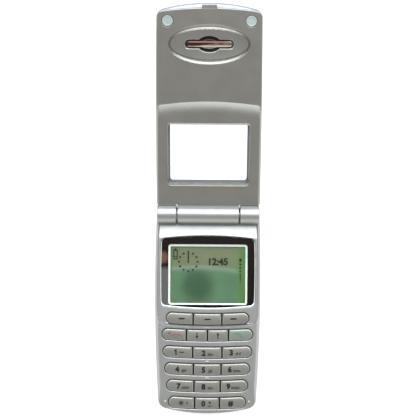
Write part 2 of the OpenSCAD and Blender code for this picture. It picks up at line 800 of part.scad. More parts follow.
module keypad_mat() {
    color([0.8, 0.82, 0.8]) difference() {
        intersection() {
            prism(base_outline(3.2), mat_top - 0.8, mat_top);
            base_slab(soft_at - mat_margin, base_reach - 2, 0, base_t);
        }
        for (p = tip_screw_places) at_base(p[0], p[1], board_top)
            cylinder(r = boss_r + 0.2, h = base_t);
    }
    plunger_z = board_top + dome_t + 0.35;
    color([0.8, 0.82, 0.8]) for (row = ROWS, i = [0:len(row[2]) - 2]) {
        x = (row[2][i] + row[2][i + 1]) / 2;
        translate([x, row_y(row, x), plunger_z]) cylinder(r = 1.1, h = mat_top - 0.4 - plunger_z);
    }
}

module dome_sheet() {
    color([0.85, 0.72, 0.4]) union() {
        difference() {
            intersection() {
                prism(base_outline(3.4), board_top, board_top + dome_t);
                base_slab(soft_at - mat_margin, base_reach - 2.6, 0, base_t);
            }
            for (p = tip_screw_places) at_base(p[0], p[1], board_z)
                cylinder(r = boss_r + 0.2, h = base_t);
        }
        for (row = ROWS, i = [0:len(row[2]) - 2]) {
            x = (row[2][i] + row[2][i + 1]) / 2;
            translate([x, row_y(row, x), board_top])
                cylinder(r1 = 2, r2 = 1.3, h = dome_t + 0.3);
        }
    }
}

// ---- Board and what is on it ----

module main_board() {
    color(board_green) difference() {
        intersection() {
            prism(base_outline(board_inset), board_z, board_top);
            base_slab(hinge_r + 2, connector_at - 0.2, 0, base_t);
        }
        for (p = base_screw_places)
            at_base(p[0], p[1], board_z - cut) cylinder(r = boss_r + 0.25, h = base_t);
        jack_box(0.2, board_z - cut, board_top + cut, 4);
    }
}

module shield_can(u, size) {
    difference() {
        base_block(0, u, board_z - size[2], size);
        base_block(0, u, board_z - size[2] + 0.2, [size[0] - 0.4, size[1] - 0.4, size[2]]);
    }
}

module baseband_shield() {
    color(tin) shield_can((baseband_start + baseband_end) / 2,
        [baseband_w, baseband_end - baseband_start, can_h]);
}

module rf_shield() {
    color(tin) shield_can(rf_at, [can_w, 12, can_h]);
}

module internal_antenna() {
    color([0.25, 0.24, 0.22]) difference() {
        base_block(0, antenna_at, wall, [antenna_w, 4.6, board_z - 1.2 - wall]);
        base_block(0, antenna_at, wall + 0.8, [antenna_w - 1.6, 3, board_z]);
    }
    color([0.8, 0.6, 0.3]) for (s = [-1, 1])
        base_block(s * (antenna_w / 4 - 0.5), antenna_at, wall + 0.8, [antenna_w / 2 - 4, 3, 0.3]);
}

module microphone() {
    color(tin) at_base(mic_place[0], mic_place[1], board_z - can_h) difference() {
        cylinder(r = 1.9, h = can_h);
        translate([0, 0, -cut]) cylinder(r = 0.4, h = cut + 0.4);
    }
}

module ringer_speaker() {
    color(dark_plastic) at_base(grille_place[0], grille_place[1], wall) difference() {
        cylinder(r = ringer_r, h = ringer_t);
        translate([0, 0, -cut]) cylinder(r = ringer_r - 0.8, h = cut + 0.3);
        translate([0, 0, ringer_t - 0.3]) difference() {
            cylinder(r = 5, h = 1);
            cylinder(r = 2.4, h = 1);
        }
    }
}

// Draws along the motor's shaft, from the motor's end
module at_motor_end() {
    at_base(motor_place[0] + motor_l, motor_place[1], motor_z) rotate([0, 90, 0]) children();
}

module vibration_motor() {
    color(tin) difference() {
        union() {
            at_motor_end() translate([0, 0, -motor_l]) cylinder(r = motor_r, h = motor_l);
            base_block(motor_place[0] + motor_l / 2, motor_place[1], wall, [5, 3, motor_r]);
        }
        at_motor_end() translate([0, 0, -3]) cylinder(r = 0.5 + running_gap, h = 3.2);
    }
}

module vibration_weight() {
    color([0.45, 0.46, 0.48]) at_motor_end() {
        translate([0, 0, -2.5]) cylinder(r = 0.5, h = 5.2);
        difference() {
            translate([0, 0, 0.4]) cylinder(r = weight_r, h = 2.6);
            translate([-3.55, -3, 0]) cube([3, 6, 4]);
        }
    }
}

module system_connector() {
    color(dark_plastic) difference() {
        base_block(0, connector_at, plate_top - connector_h - 0.1,
            [connector_w + 2, connector_d, connector_h + 1]);
        base_block(0, base_reach - 2, plate_top - connector_h + 0.3,
            [connector_w, 6, connector_h - 0.7]);
    }
    color([0.85, 0.7, 0.35]) base_block(0, base_reach - 3.7, plate_top - connector_h + 0.3,
        [connector_w - 1, 3.4, 0.4]);
}

module sim_holder() {
    color(tin) difference() {
        base_block(0, battery_mid, sim_z,
            [sim_size[0] + 2 * sim_rim, sim_size[1] + 2 * sim_rim, board_z - sim_z]);
        base_block(0, battery_mid, sim_z - cut,
            [sim_size[0] + 0.3, sim_size[1] + 0.3, cut + sim_size[2] + 0.1]);
    }
}

module sim_card() {
    color([0.9, 0.9, 0.92]) base_block(0, battery_mid, sim_z, sim_size);
}

module battery_contacts() {
    color([0.85, 0.7, 0.35]) for (i = [-1:1])
        base_block(i * 3.2, contacts_at, bay_top, [1.6, 2.8, board_z - bay_top]);
    color(dark_plastic)
        base_block(0, contacts_at, bay_top + 0.4, [10, 2.6, board_z - bay_top - 0.4]);
}

module battery_case() {
    color(silver) difference() {
        at_base(0, battery_mid) prism(rounded_rect(battery_w, battery_l, 2), 0, battery_t);
        at_base(0, battery_mid) prism(rounded_rect(battery_w - 2 * case_wall,
            battery_l - 2 * case_wall, 1.4), case_wall, battery_t - case_wall);
    }
}

module battery_cell() {
    clear = case_wall + 0.1;
    color([0.5, 0.55, 0.6]) at_base(0, battery_mid) prism(rounded_rect(battery_w - 2 * clear,
        battery_l - 2 * clear, 1.2), clear, battery_t - clear);
}

module battery_latch() {
    color(dark_plastic) {
        base_block(0, latch_at, latch_z, latch_size);
        for (i = [-1:1]) base_block(0, latch_at + i * 0.8, latch_z - 0.15, [6, 0.35, 0.4]);
    }
}

module backup_cell() {
    color(tin) at_base(backup_place[0], backup_place[1], board_z - backup_t)
        cylinder(r = 3.2, h = backup_t);
}

module housing_screws() {
    color("silver") for (p = base_screw_places)
        at_base(p[0], p[1]) screw(parting_z - 3 - screw_head_t, parting_z + 2.4);
}

// ---- Hinge parts ----

module hinge_shaft() {
    color([0.6, 0.6, 0.62]) at_hinge() hinge_bar(shaft_r, 3, hinge_w / 2 - 1.4);
}

module hinge_sleeve() {
    color([0.6, 0.6, 0.62]) at_hinge() difference() {
        hinge_bar(sleeve_r, -hinge_w / 2 + 1.4, -sleeve_in);
        hinge_bar(sleeve_r - 0.5, -hinge_w / 2, -sleeve_in + 1);
    }
}

module hinge_cartridge() {
    color([0.5, 0.5, 0.52]) on_lid() difference() {
        hinge_bar(cartridge_r, 0.8, barrel_w / 2 - 0.2);
        hinge_bar(shaft_r + running_gap, 2.6, barrel_w / 2 + 1);
    }
}

// ---- Lid covers ----

module lid_box(u0, u1, h0, h1, half_w) {
    translate([-half_w, u0, h0]) cube([2 * half_w, u1 - u0, h1 - h0]);
}

// Prism with the window's outline, drawn out by grow
module window_prism(grow, corner, h0 = outer_h - 1, h1 = plateau_h + 1) {
    translate([0, window_at, 0])
        prism(rounded_rect(window_w + 2 * grow, window_l + 2 * grow, corner), h0, h1);
}

// Window plateau with its rolled end
module plateau() {
    intersection() {
        loft([
            [panel_h - 0.6, 0.7], [panel_h, 0.8], [plateau_h - 0.6, 1], [plateau_h - 0.15, 1.4],
            [plateau_h, 2]
        ], function (d) lid_outline(d, 30));
        translate([0, plateau_reach - roll_r, 0]) rotate_extrude($fn = 180) polygon(concat(
            [[0, panel_h - 1]], [[roll_r + roll_l, panel_h - 1]],
            [for (i = [0:6]) let (t = i / 6)
                [roll_r + roll_l * (1 - t), panel_h + plateau_rise * sin(90 * t)]],
            [[0, plateau_h]]
        ));
    }
}

// Long bar with pointed ends, as points
function ear_bar(half_w, half_l) = [
    [-half_w, 0], [-half_w + 0.8, -half_l], [half_w - 0.8, -half_l],
    [half_w, 0], [half_w - 0.8, half_l], [-half_w + 0.8, half_l]
];

module ear_slot() {
    prism(ear_bar(slot_half_w, slot_half_l), outer_h, 2);
    prism(oval(slot_middle[0], slot_middle[1]), outer_h, 2);
}

// Rib and screw bosses that drop inside the outer cover's wall
module lid_register() {
    intersection() {
        prism(lid_outline(wall + fit_gap + 0.35, tip_lip, lid_start + wall + fit_gap),
            rim_h - register_l, rim_h + 0.2);
        union() {
            difference() {
                prism(lid_outline(0), rim_h - 2, rim_h + 1);
                prism(lid_outline(wall + fit_gap + 1.25, tip_lip, lid_start + 2 * wall), rim_h - 3,
                    rim_h + 2);
            }
            for (p = lid_screw_places) translate([p[0], p[1], rim_h - 2]) cylinder(r = boss_r, h = 3);
        }
    }
}

module lid_inner_cover() {
    color(silver) on_lid() difference() {
        union() {
            loft([
                [rim_h, 0.5], [panel_h - 0.5, 0.5], [panel_h - 0.12, 0.75], [panel_h, 1.15]
            ], function (d) lid_outline(d, tip_lip - 0.5));
            plateau();
            lid_register();
            window_prism(lining_w, 2, floor_h, panel_h);
            hinge_bar(hinge_r, -barrel_w / 2, barrel_w / 2);
            lid_box(0, lid_start + 0.6, -3, plateau_h - 0.2, barrel_w / 2);
        }
        intersection() {
            prism(lid_outline(wall + 1.6, tip_lip + 0.4, lid_start + 1.2), rim_h - 2, panel_h - wall);
            difference() {
                lid_box(0, lid_reach, rim_h - 2, panel_h - wall, lid_w);
                window_prism(lining_w, 2);
            }
        }
        difference() {
            intersection() {
                prism(lid_outline(wall + 2.4, tip_lip, lid_start + 1.6), rim_h, plateau_h - wall);
                lid_box(0, plateau_reach - 4, rim_h, plateau_h - wall, lid_w);
            }
            window_prism(lining_w, 2);
        }
        window_prism(0, 1.2);
        window_prism(window_rim, 1.6, plateau_h - 0.3);
        translate([0, ear_at, 0]) {
            difference() {
                prism(oval(ear_half_w, ear_half_l), panel_h - 0.45, panel_h + 1);
                prism(oval(ear_half_w - ear_groove_w, ear_half_l - ear_groove_w),
                    panel_h - 1, panel_h - 0.15);
            }
            ear_slot();
        }
        for (p = lid_screw_places) translate([p[0], p[1], 0]) {
            translate([0, 0, panel_h - 0.6]) cylinder(r = pad_r + 0.1, h = 2);
            translate([0, 0, lid_seat_h]) cylinder(r = screw_head_r + 0.1, h = 3);
            translate([0, 0, rim_h - 2]) cylinder(r = screw_r + 0.15, h = 3);
        }
        hinge_bar(cartridge_r + running_gap, 0.6, barrel_w / 2 + 1);
        hinge_bar(sleeve_r + running_gap, -barrel_w / 2 - 1, -sleeve_in + 0.4);
        translate([-10.5, 0, -0.6]) cube([3.4, lid_start + 4, 1]);
    }
}

module lid_outer_cover() {
    color(pale_silver) on_lid() difference() {
        loft([
            [outer_h, 5], [outer_h + 0.3, 2.9], [outer_h + 1, 1.3], [outer_h + 2, 0.35],
            [outer_h + 3, 0], [rim_h - 0.3, 0], [rim_h, 0.25]
        ], function (d) lid_outline(d, 0, lid_start + max(0, d - 1) * 0.35));
        difference() {
            prism(lid_outline(wall + 0.35, tip_lip - 0.15, lid_start + wall), floor_h, rim_h + 1);
            for (p = lid_screw_places) translate([p[0], p[1], floor_h - 1])
                cylinder(r = boss_r, h = rim_h - register_l - 0.05 - floor_h + 1);
        }
        for (p = lid_screw_places) translate([p[0], p[1], floor_h])
            cylinder(r = screw_r, h = 5);
        window_prism(0, 1.2);
        window_prism(window_ledge, 2, outer_h - 1, outer_h + window_lens_t + 0.05);
        lid_box(0, lid_start + wall + 1, -3.3, 2, barrel_w / 2 + fit_gap);
    }
}

module window_lens() {
    color([0.8, 0.86, 0.88, 0.3]) on_lid()
        window_prism(window_ledge - fit_gap, 1.9, outer_h + 0.05, outer_h + 0.05 + window_lens_t);
}

module earpiece_speaker() {
    color(dark_plastic) on_lid() translate([0, ear_at, floor_h]) difference() {
        cylinder(r = ear_speaker_r, h = 2.3);
        translate([0, 0, 2]) cylinder(r = ear_speaker_r - 1, h = 1);
    }
}

module earpiece_gasket() {
    color([0.1, 0.1, 0.1]) on_lid() translate([0, ear_at, floor_h + 2.3]) difference() {
        cylinder(r = ear_speaker_r, h = panel_h - wall - floor_h - 2.3);
        translate([0, 0, -1]) cylinder(r = ear_speaker_r - 1, h = 4);
    }
}

// Bright bar that lies along the sound slot, on a rib across its middle
module earpiece_grille() {
    color([0.8, 0.8, 0.8]) on_lid() translate([0, ear_at, 0]) {
        prism(ear_bar(slot_half_w - 0.35, slot_half_l - 0.4), panel_h - 1.2, panel_h - 0.35);
        prism(oval(slot_middle[0] - 0.5, slot_middle[1] - 0.1), panel_h - 1.3, panel_h - 0.7);
    }
}

module lid_bumpers() {
    color([0.7, 0.74, 0.7]) on_lid() for (p = lid_screw_places)
        translate([p[0], p[1], panel_h - 0.55]) cylinder(r = pad_r, h = 0.55 + pad_proud);
}

module lid_screws() {
    color("silver") on_lid() for (p = lid_screw_places)
        translate([p[0], p[1], 0]) mirror([0, 0, 1]) screw(-lid_seat_h - screw_head_t, -rim_h + 3);
}

module lid_magnet() {
    color([0.4, 0.4, 0.42]) on_lid() translate([8, pad_at - 2.3, floor_h]) cube([4, 3, 2]);
}

module lid_flex() {
    side = (channel_in + channel_out + flex_w) / 2;
    color([0.75, 0.5, 0.15]) on_lid() translate([-side, 0, floor_h]) {
        translate([0, flex_start, 0]) cube([flex_w, ear_at - flex_start, flex_t]);
        translate([0, ear_at - flex_w, 0]) cube([side - ear_speaker_r - 0.1, flex_w, flex_t]);
        translate([0, flex_start, 0]) cube([side / 2, flex_w, flex_t]);
    }
}

front_housing();
rear_housing();
display_lens();
display_mask();
lcd_frame();
lcd_panel();
backlight_guide();
lcd_holder();
keypad_mat();
dome_sheet();
main_board();
baseband_shield();
rf_shield();
internal_antenna();
microphone();
ringer_speaker();
vibration_motor();
vibration_weight();
system_connector();
headset_socket();
sim_holder();
sim_card();
battery_contacts();
battery_case();
battery_cell();
battery_latch();
backup_cell();
housing_screws();
hinge_shaft();
hinge_sleeve();
lid_inner_cover();
lid_outer_cover();
window_lens();
earpiece_speaker();
earpiece_grille();
earpiece_gasket();
lid_bumpers();
lid_screws();
lid_magnet();
hinge_cartridge();
lid_flex();
one_key(ROWS[0], 0);  // key_soft_left
one_key(ROWS[0], 1);  // key_soft_middle
one_key(ROWS[0], 2);  // key_soft_right
one_key(ROWS[1], 0);  // key_end
one_key(ROWS[1], 1);  // key_down
one_key(ROWS[1], 2);  // key_up
one_key(ROWS[1], 3);  // key_send
one_key(ROWS[2], 0);  // key_1
one_key(ROWS[2], 1);  // key_2
one_key(ROWS[2], 2);  // key_3
one_key(ROWS[3], 0);  // key_4
one_key(ROWS[3], 1);  // key_5
one_key(ROWS[3], 2);  // key_6
one_key(ROWS[4], 0);  // key_7
one_key(ROWS[4], 1);  // key_8
one_key(ROWS[4], 2);  // key_9
one_key(ROWS[5], 0);  // key_star
one_key(ROWS[5], 1);  // key_0
one_key(ROWS[5], 2);  // key_hash
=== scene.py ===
"""Looks of a clamshell telephone, lying on its back with the lid open.

Shapes are worked out in millimetres in two flat frames: across the base or the lid is x, the
reach from the hinge axis is u, and height is h. A Place then sets them where the part lies.
"""

import json
import logging
import math
from dataclasses import dataclass, field
from enum import Enum
from typing import Callable, Optional, Sequence

import bmesh
import bpy
import numpy as np
from mathutils import Matrix, Vector
from mathutils.geometry import delaunay_2d_cdt

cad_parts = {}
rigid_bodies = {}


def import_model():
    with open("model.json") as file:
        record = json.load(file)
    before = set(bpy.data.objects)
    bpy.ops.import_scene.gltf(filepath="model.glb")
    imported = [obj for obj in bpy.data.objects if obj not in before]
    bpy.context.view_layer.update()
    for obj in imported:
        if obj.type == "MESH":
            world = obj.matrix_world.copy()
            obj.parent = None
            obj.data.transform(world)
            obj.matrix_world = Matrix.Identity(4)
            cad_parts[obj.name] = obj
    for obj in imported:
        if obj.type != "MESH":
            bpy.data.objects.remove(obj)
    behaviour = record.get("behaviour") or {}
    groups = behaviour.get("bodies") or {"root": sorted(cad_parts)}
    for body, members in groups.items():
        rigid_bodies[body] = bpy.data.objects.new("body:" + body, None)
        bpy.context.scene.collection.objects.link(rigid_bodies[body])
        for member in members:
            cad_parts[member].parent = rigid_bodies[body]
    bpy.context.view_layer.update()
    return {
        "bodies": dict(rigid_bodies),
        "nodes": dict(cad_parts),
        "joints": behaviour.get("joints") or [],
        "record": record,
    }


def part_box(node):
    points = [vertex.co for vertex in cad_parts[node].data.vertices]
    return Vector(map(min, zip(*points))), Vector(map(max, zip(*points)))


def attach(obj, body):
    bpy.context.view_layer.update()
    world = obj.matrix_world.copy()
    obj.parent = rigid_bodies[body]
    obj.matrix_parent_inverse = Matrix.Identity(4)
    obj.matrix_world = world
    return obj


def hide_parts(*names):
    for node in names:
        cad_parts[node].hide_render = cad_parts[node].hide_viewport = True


LOG = logging.getLogger("telephone")
MM = 0.001
DISPLAY_Z = 0.0112
LENS_SWELL = 0.015
LENS_BOW = 1.3
LENS_R = 2.2
Array = np.ndarray
Piece = bpy.types.Object
Tree, Node, Socket = bpy.types.NodeTree, bpy.types.Node, bpy.types.NodeSocket
Height = Callable[[Array, Array], Array]
Loops = Callable[[float], Array]
Colour = tuple[float, float, float]
Inputs = dict["str | int", object]


class Body(Enum):
    """Bodies that the modelled shells ride on. Each key rides on a body of its own."""

    BASE = "base"
    LID = "lid"


# ---------------------------------------------------------------- shapes in plan


def eased(t: Array) -> Array:
    """Clamp t to 0..1 and ease it in and out."""
    t = np.clip(t, 0.0, 1.0)
    return t * t * (3 - 2 * t)


def bowed(half_w: float, bow_at: float, bow_r: float, u: Array) -> Array:
    """Half width at reach u of a shell that is widest at bow_at."""
    return half_w - (u - bow_at) ** 2 / (2 * bow_r)


def spun(loop: Array, turn: float) -> Array:
    """Loop turned about the origin."""
    c, s = math.cos(turn), math.sin(turn)
    return loop @ np.array([[c, s], [-s, c]])


@dataclass(frozen=True)
class Outline:
    """Plan of a shell: bowed sides, round corners and a curved tip, with a straight hinge end."""

    tip: float
    half_w: float
    back: float
    tip_r: float
    corner_r: float
    bow_at: float
    bow_r: float
    stops: tuple[float, ...]

    def side(self, u: Array, inset: float = 0.0) -> Array:
        """Half width at reach u."""
        return bowed(self.half_w - inset, self.bow_at, self.bow_r, u)

    def loop(self, inset: float, lip: float = 0.0, behind: float = 0.0) -> Array:
        """Closed loop of the outline.

        Args:
            inset: How far the loop is drawn in.
            lip: How much further it is drawn in at the tip.
            behind: How far it is drawn in at the hinge end.

        Returns:
            Points as rows of x and u, from the right hinge corner round the tip to the left one.
        """
        tip, radius = self.tip - inset - lip, self.tip_r - inset
        corner = max(self.corner_r - inset, 0.8)
        cx = float(self.side(tip - 1.6 * corner, inset)) - corner
        cu = tip - radius + math.sqrt((radius - corner) ** 2 - cx * cx)
        turn = math.atan2(cu - tip + radius, cx)
        back = self.back + behind
        lead = cu + (self.stops[0] - cu) * np.array([0.3, 0.65])
        u = np.concatenate([lead, [max(s, back) for s in self.stops], [back]])
        sides = np.stack([self.side(u, inset), u], 1)
        a = np.linspace(turn, 0, 13)
        corners = np.stack([cx + corner * np.cos(a), cu + corner * np.sin(a)], 1)
        a = np.linspace(math.pi / 2, turn, 28)[:-1]
        tips = np.stack([radius * np.cos(a), tip - radius + radius * np.sin(a)], 1)
        half = np.concatenate([tips, corners, sides])
        mirrored = half[1:] * np.array([-1, 1])
        return np.concatenate([half[::-1], mirrored])


def rounded_rect(w: float, l: float, r: float, at: float, n: int = 6) -> Array:
    """Rectangle with round corners, centred on reach at.

    Args:
        w: Width.
        l: Length along the reach.
        r: Radius of the corners.
        at: Reach of its middle.
        n: Steps round each corner.

    Returns:
        Points as rows of x and u.
    """
    a = np.linspace(0, math.pi / 2, n + 1)
    corner = np.stack([np.cos(a), np.sin(a)], 1) * r + [w / 2 - r, l / 2 - r]
    flip = corner[::-1]
    loop = np.concatenate([corner, flip * [-1, 1], corner * [-1, -1], flip * [1, -1]])
    return loop + [0, at]


def ellipse(half_w: float, half_l: float, at: float, n: int = 72, x: float = 0.0) -> Array:
    """Ellipse centred on x and reach at."""
    a = np.arange(n) * 2 * math.pi / n
    return np.stack([x + half_w * np.cos(a), at + half_l * np.sin(a)], 1)


def lens_loop(w: float, l: float, bow: float, r: float, at: float) -> Array:
    """Slightly bowed sides, bowed ends and round corners, centred on reach at.

    Args:
        w: Width at its middle.
        l: Length along the reach.
        bow: How far each end bows out.
        r: Radius of the corners.
        at: Reach of its middle.

    Returns:
        Points as rows of x and u.
    """
    end_r = (w * w / 4 + bow * bow) / (2 * bow)
    cx = w / 2 - r
    cy = l / 2 - end_r + math.sqrt((end_r - r) ** 2 - cx * cx)
    turn = math.atan2(cy - l / 2 + end_r, cx)
    a = np.linspace(0, turn, 9)
    corner = np.stack([cx + r * np.cos(a), cy + r * np.sin(a)], 1)
    a = np.linspace(turn, math.pi / 2, 18)[1:]
    end = np.stack([end_r * np.cos(a), l / 2 - end_r + end_r * np.sin(a)], 1)
    sides = np.stack([np.full(7, w / 2), np.linspace(0, cy, 8)[:-1]], 1)
    quarter = np.concatenate([sides, corner, end])
    back = quarter[::-1]
    loop = np.concatenate([quarter, back[1:] * [-1, 1], quarter[1:] * [-1, -1],
                           back[1:-1] * [1, -1]])
    swell = 1 + LENS_SWELL * (1 - (loop[:, 1] / (l / 2)) ** 2)
    return loop * np.stack([swell, np.ones(len(loop))], 1) + [0, at]


def inside(points: Array, loop: Array) -> Array:
    """Which points lie inside a closed loop.

    Args:
        points: Points as rows of x and u.
        loop: The closed loop.

    Returns:
        True for each point inside it.
    """
    x, y = points[:, :1], points[:, 1:]
    x0, y0 = loop[:, 0], loop[:, 1]
    x1, y1 = np.roll(x0, -1), np.roll(y0, -1)
    crosses = (y0 > y) != (y1 > y)
    with np.errstate(divide="ignore", invalid="ignore"):
        at = x0 + (y - y0) * (x1 - x0) / (y1 - y0)
    return (crosses & (x < at)).sum(1) % 2 == 1


def grid(x0: float, x1: float, u0: float, u1: float, dx: float, du: float) -> Array:
    """Even grid of points over a rectangle.

    Args:
        x0: Left edge.
        x1: Right edge.
        u0: Near edge.
        u1: Far edge.
        dx: Step across.
        du: Step along the reach.

    Returns:
        Points as rows of x and u.
    """
    xs = np.linspace(x0, x1, max(2, round((x1 - x0) / dx) + 1))
    us = np.linspace(u0, u1, max(2, round((u1 - u0) / du) + 1))
    return np.stack(np.meshgrid(xs, us), -1).reshape(-1, 2)


# ---------------------------------------------------------------- skins


@dataclass(frozen=True)
class Place:
    """Where a flat frame of x, u and h lies in the world."""

    hinge: Vector
    tilt: float
    along: int

    def matrix(self) -> Matrix:
        """Matrix from millimetres in the flat frame to metres in the world.

        Returns:
            The matrix, with the hinge as the origin of the flat frame.
        """
        flip = Matrix.Diagonal((1, self.along, 1, 1))
        scale = Matrix.Diagonal((MM, MM, MM, 1))
        return Matrix.Translation(self.hinge) @ Matrix.Rotation(self.tilt, 4, "X") @ flip @ scale


@dataclass
class Skin:
    """Points and faces of one piece, gathered from rings, bands and sheets."""

    points: list[tuple[float, float, float]] = field(default_factory=list)
    faces: list[tuple[int, ...]] = field(default_factory=list)

    def ring(self, loop: Array, height: "float | Array") -> list[int]:
        """Add a closed ring of points and return their numbers.

        Args:
            loop: Points as rows of x and u.
            height: One height, or the height of each point.

        Returns:
            Numbers of the new points.
        """
        heights = np.broadcast_to(height, (len(loop),))
        start = len(self.points)
        self.points += [(float(x), float(u), float(h)) for (x, u), h in zip(loop, heights)]
        return list(range(start, len(self.points)))

    def drape(self, loop: Array, height: Height, drop: float = 0.0) -> list[int]:
        """Add a closed ring that lies a drop below a surface."""
        return self.ring(loop, height(loop[:, 0], loop[:, 1]) - drop)

    def bands(self, *rings: Sequence[int]) -> None:
        """Join each ring to the next with a band of quads.

        Args:
            rings: Rings with equally many points.
        """
        for a, b in zip(rings, rings[1:]):
            n = len(a)
            self.faces += [(a[i], a[(i + 1) % n], b[(i + 1) % n], b[i]) for i in range(n)]

    def sheet(
        self,
        outer: Sequence[int],
        holes: Sequence[Sequence[int]] = (),
        spots: Optional[Array] = None,
        height: Optional[Height] = None,
    ) -> None:
        """Fill between rings with triangles.

        Args:
            outer: The ring round the sheet.
            holes: Rings that stay open.
            spots: Points inside the sheet that hold its curvature, as rows of x and u.
            height: Height of the sheet at a spot.
        """
        loops = [np.array([self.points[i][:2] for i in ring]) for ring in (outer, *holes)]
        ids = [*outer, *(i for hole in holes for i in hole)]
        if spots is not None and len(spots):
            keep = inside(spots, loops[0])
            for loop in loops[1:]:
                keep &= ~inside(spots, loop)
            spots = spots[keep]
            ids += self.ring(spots, height(spots[:, 0], spots[:, 1]))
        edges, start = [], 0
        for loop in loops:
            n = len(loop)
            edges += [(start + i, start + (i + 1) % n) for i in range(n)]
            start += n
        flat = [Vector(self.points[i][:2]) for i in ids]
        found = delaunay_2d_cdt(flat, edges, [], 0, 1e-6, True)
        corners = np.array([found[0][i] for face in found[2] for i in face]).reshape(-1, 3, 2)
        centres = corners.mean(1)
        keep = inside(centres, loops[0])
        for loop in loops[1:]:
            keep &= ~inside(centres, loop)
        for face, kept in zip(found[2], keep):
            if kept:
                self.faces.append(tuple(ids[found[3][i][0]] for i in face))

    def block(self, *rings: Sequence[int]) -> None:
        """Join rings with bands and close each end with a flat face."""
        self.bands(*rings)
        self.faces += [tuple(reversed(rings[0])), tuple(rings[-1])]

    def inlay(self, points: Array, faces: Sequence[tuple[int, ...]],
              low: "float | Array", high: "float | Array") -> None:
        """Add a flat shape as a thin plate.

        Args:
            points: The shape's points, as rows of x and u.
            faces: The shape's faces.
            low: Height of the underside.
            high: Height of the top.
        """
        under, over = self.ring(points, low), self.ring(points, high)
        self.faces += [tuple(under[v] for v in reversed(face)) for face in faces]
        self.faces += [tuple(over[v] for v in face) for face in faces]
        self.faces += [(under[a], under[b], over[b], over[a]) for a, b in boundary(faces)]

    def add(self, other: "Skin") -> None:
        """Take in another skin as a separate shell.

        Args:
            other: The skin, which keeps its own points.
        """
        start = len(self.points)
        self.points += other.points
        self.faces += [tuple(i + start for i in face) for face in other.faces]

    def build(self, name: str, place: Place, sharp: float = 38.0) -> Piece:
        """Make the mesh object.

        Args:
            name: Name of the piece.
            place: Where its flat frame lies.
            sharp: Angle in degrees past which an edge stays sharp.

        Returns:
            The new object, linked to the scene.
        """
        mesh = bpy.data.meshes.new(name)
        mesh.from_pydata(self.points, [], self.faces)
        mesh.transform(place.matrix())
        return finish_mesh(mesh, name, sharp)


def finish_mesh(mesh: bpy.types.Mesh, name: str, sharp: float = 38.0) -> Piece:
    """Close, orient and shade a mesh, and link an object that holds it.

    Args:
        mesh: The mesh, in metres.
        name: Name of the piece.
        sharp: Angle in degrees past which an edge stays sharp.

    Returns:
        The new object, linked to the scene.
    """
    bm = bmesh.new()
    bm.from_mesh(mesh)
    bmesh.ops.remove_doubles(bm, verts=bm.verts, dist=1e-7)
    bmesh.ops.dissolve_degenerate(bm, edges=bm.edges, dist=1e-8)
    bmesh.ops.recalc_face_normals(bm, faces=bm.faces)
    bm.to_mesh(mesh)
    bm.free()
    mesh.polygons.foreach_set("use_smooth", np.ones(len(mesh.polygons), bool))
    mesh.set_sharp_from_angle(angle=math.radians(sharp))
    piece = bpy.data.objects.new(name, mesh)
    bpy.context.scene.collection.objects.link(piece)
    even = piece.modifiers.new("even_shading", "WEIGHTED_NORMAL")
    even.keep_sharp = True
    even.weight = 70
    return piece


def revolved(profile: Sequence[tuple[float, float]], steps: int = 72) -> Skin:
    """Solid turned about the hinge axis.

    Args:
        profile: Places along x and radii, from the left end to the right one.
        steps: Points round the axis.

    Returns:
        A closed skin.
    """
    skin = Skin()
    angles = np.arange(steps) * 2 * math.pi / steps
    rings = []
    for x, r in profile:
        start = len(skin.points)
        skin.points += [(x, r * math.cos(a), r * math.sin(a)) for a in angles]
        rings.append(list(range(start, len(skin.points))))
    skin.bands(*rings)
    skin.faces += [tuple(rings[0]), tuple(reversed(rings[-1]))]
    return skin


def block_over(loop: Array, low: float, high: float) -> Skin:
    """Upright block over an outline.

    Args:
        loop: The outline.
        low: Height of the underside.
        high: Height of the top.

    Returns:
        A closed skin.
    """
    skin = Skin()
    skin.block(skin.ring(loop, low), skin.ring(loop, high))
    return skin


def dome(x: float, u: float, r: float, low: float, edge: float, rise: float) -> Skin:
    """Round pad with a domed top, from height low up to edge plus rise.

    Args:
        x: Place of its middle across.
        u: Reach of its middle.
        r: Radius.
        low: Height of the underside.
        edge: Height where the dome starts.
        rise: Height of the dome over that.

    Returns:
        A closed skin.
    """
    skin = Skin()
    rings = [skin.ring(ellipse(r, r, u, 40, x), h) for h in (low, edge)]
    for t in (0.25, 0.5, 0.75, 0.93):
        a = t * math.pi / 2
        loop = ellipse(r * math.cos(a), r * math.cos(a), u, 40, x)
        rings.append(skin.ring(loop, edge + rise * math.sin(a)))
    skin.block(*rings)
    return skin


def cap_over(
    loops: Loops,
    top: Height,
    low: float,
    fillet: float,
    spots: Optional[Array] = None,
    steps: int = 5,
    fall: Optional[float] = None,
) -> Skin:
    """Solid with a filleted top edge over an outline that can be drawn in.

    Args:
        loops: Outline drawn in by a distance.
        top: Height of the top.
        low: Height of the flat underside.
        fillet: Width of the rounding of the top edge.
        spots: Points that hold the curvature of the top.
        steps: Rings round the fillet.
        fall: Height of the rounding, the same as its width when left out.

    Returns:
        A closed skin.
    """
    skin = Skin()
    rings = [skin.ring(loops(0.0), low)]
    for i in range(steps + 1):
        a = math.pi / 2 * (1 - i / steps)
        drop = (fillet if fall is None else fall) * (1 - math.cos(a))
        rings.append(skin.drape(loops(fillet * (1 - math.sin(a))), top, drop))
    rings.append(skin.drape(loops(fillet + 0.06), top))
    skin.bands(*rings)
    skin.sheet(rings[-1], spots=spots, height=top)
    skin.sheet(rings[0])
    return skin


# ---------------------------------------------------------------- finishes


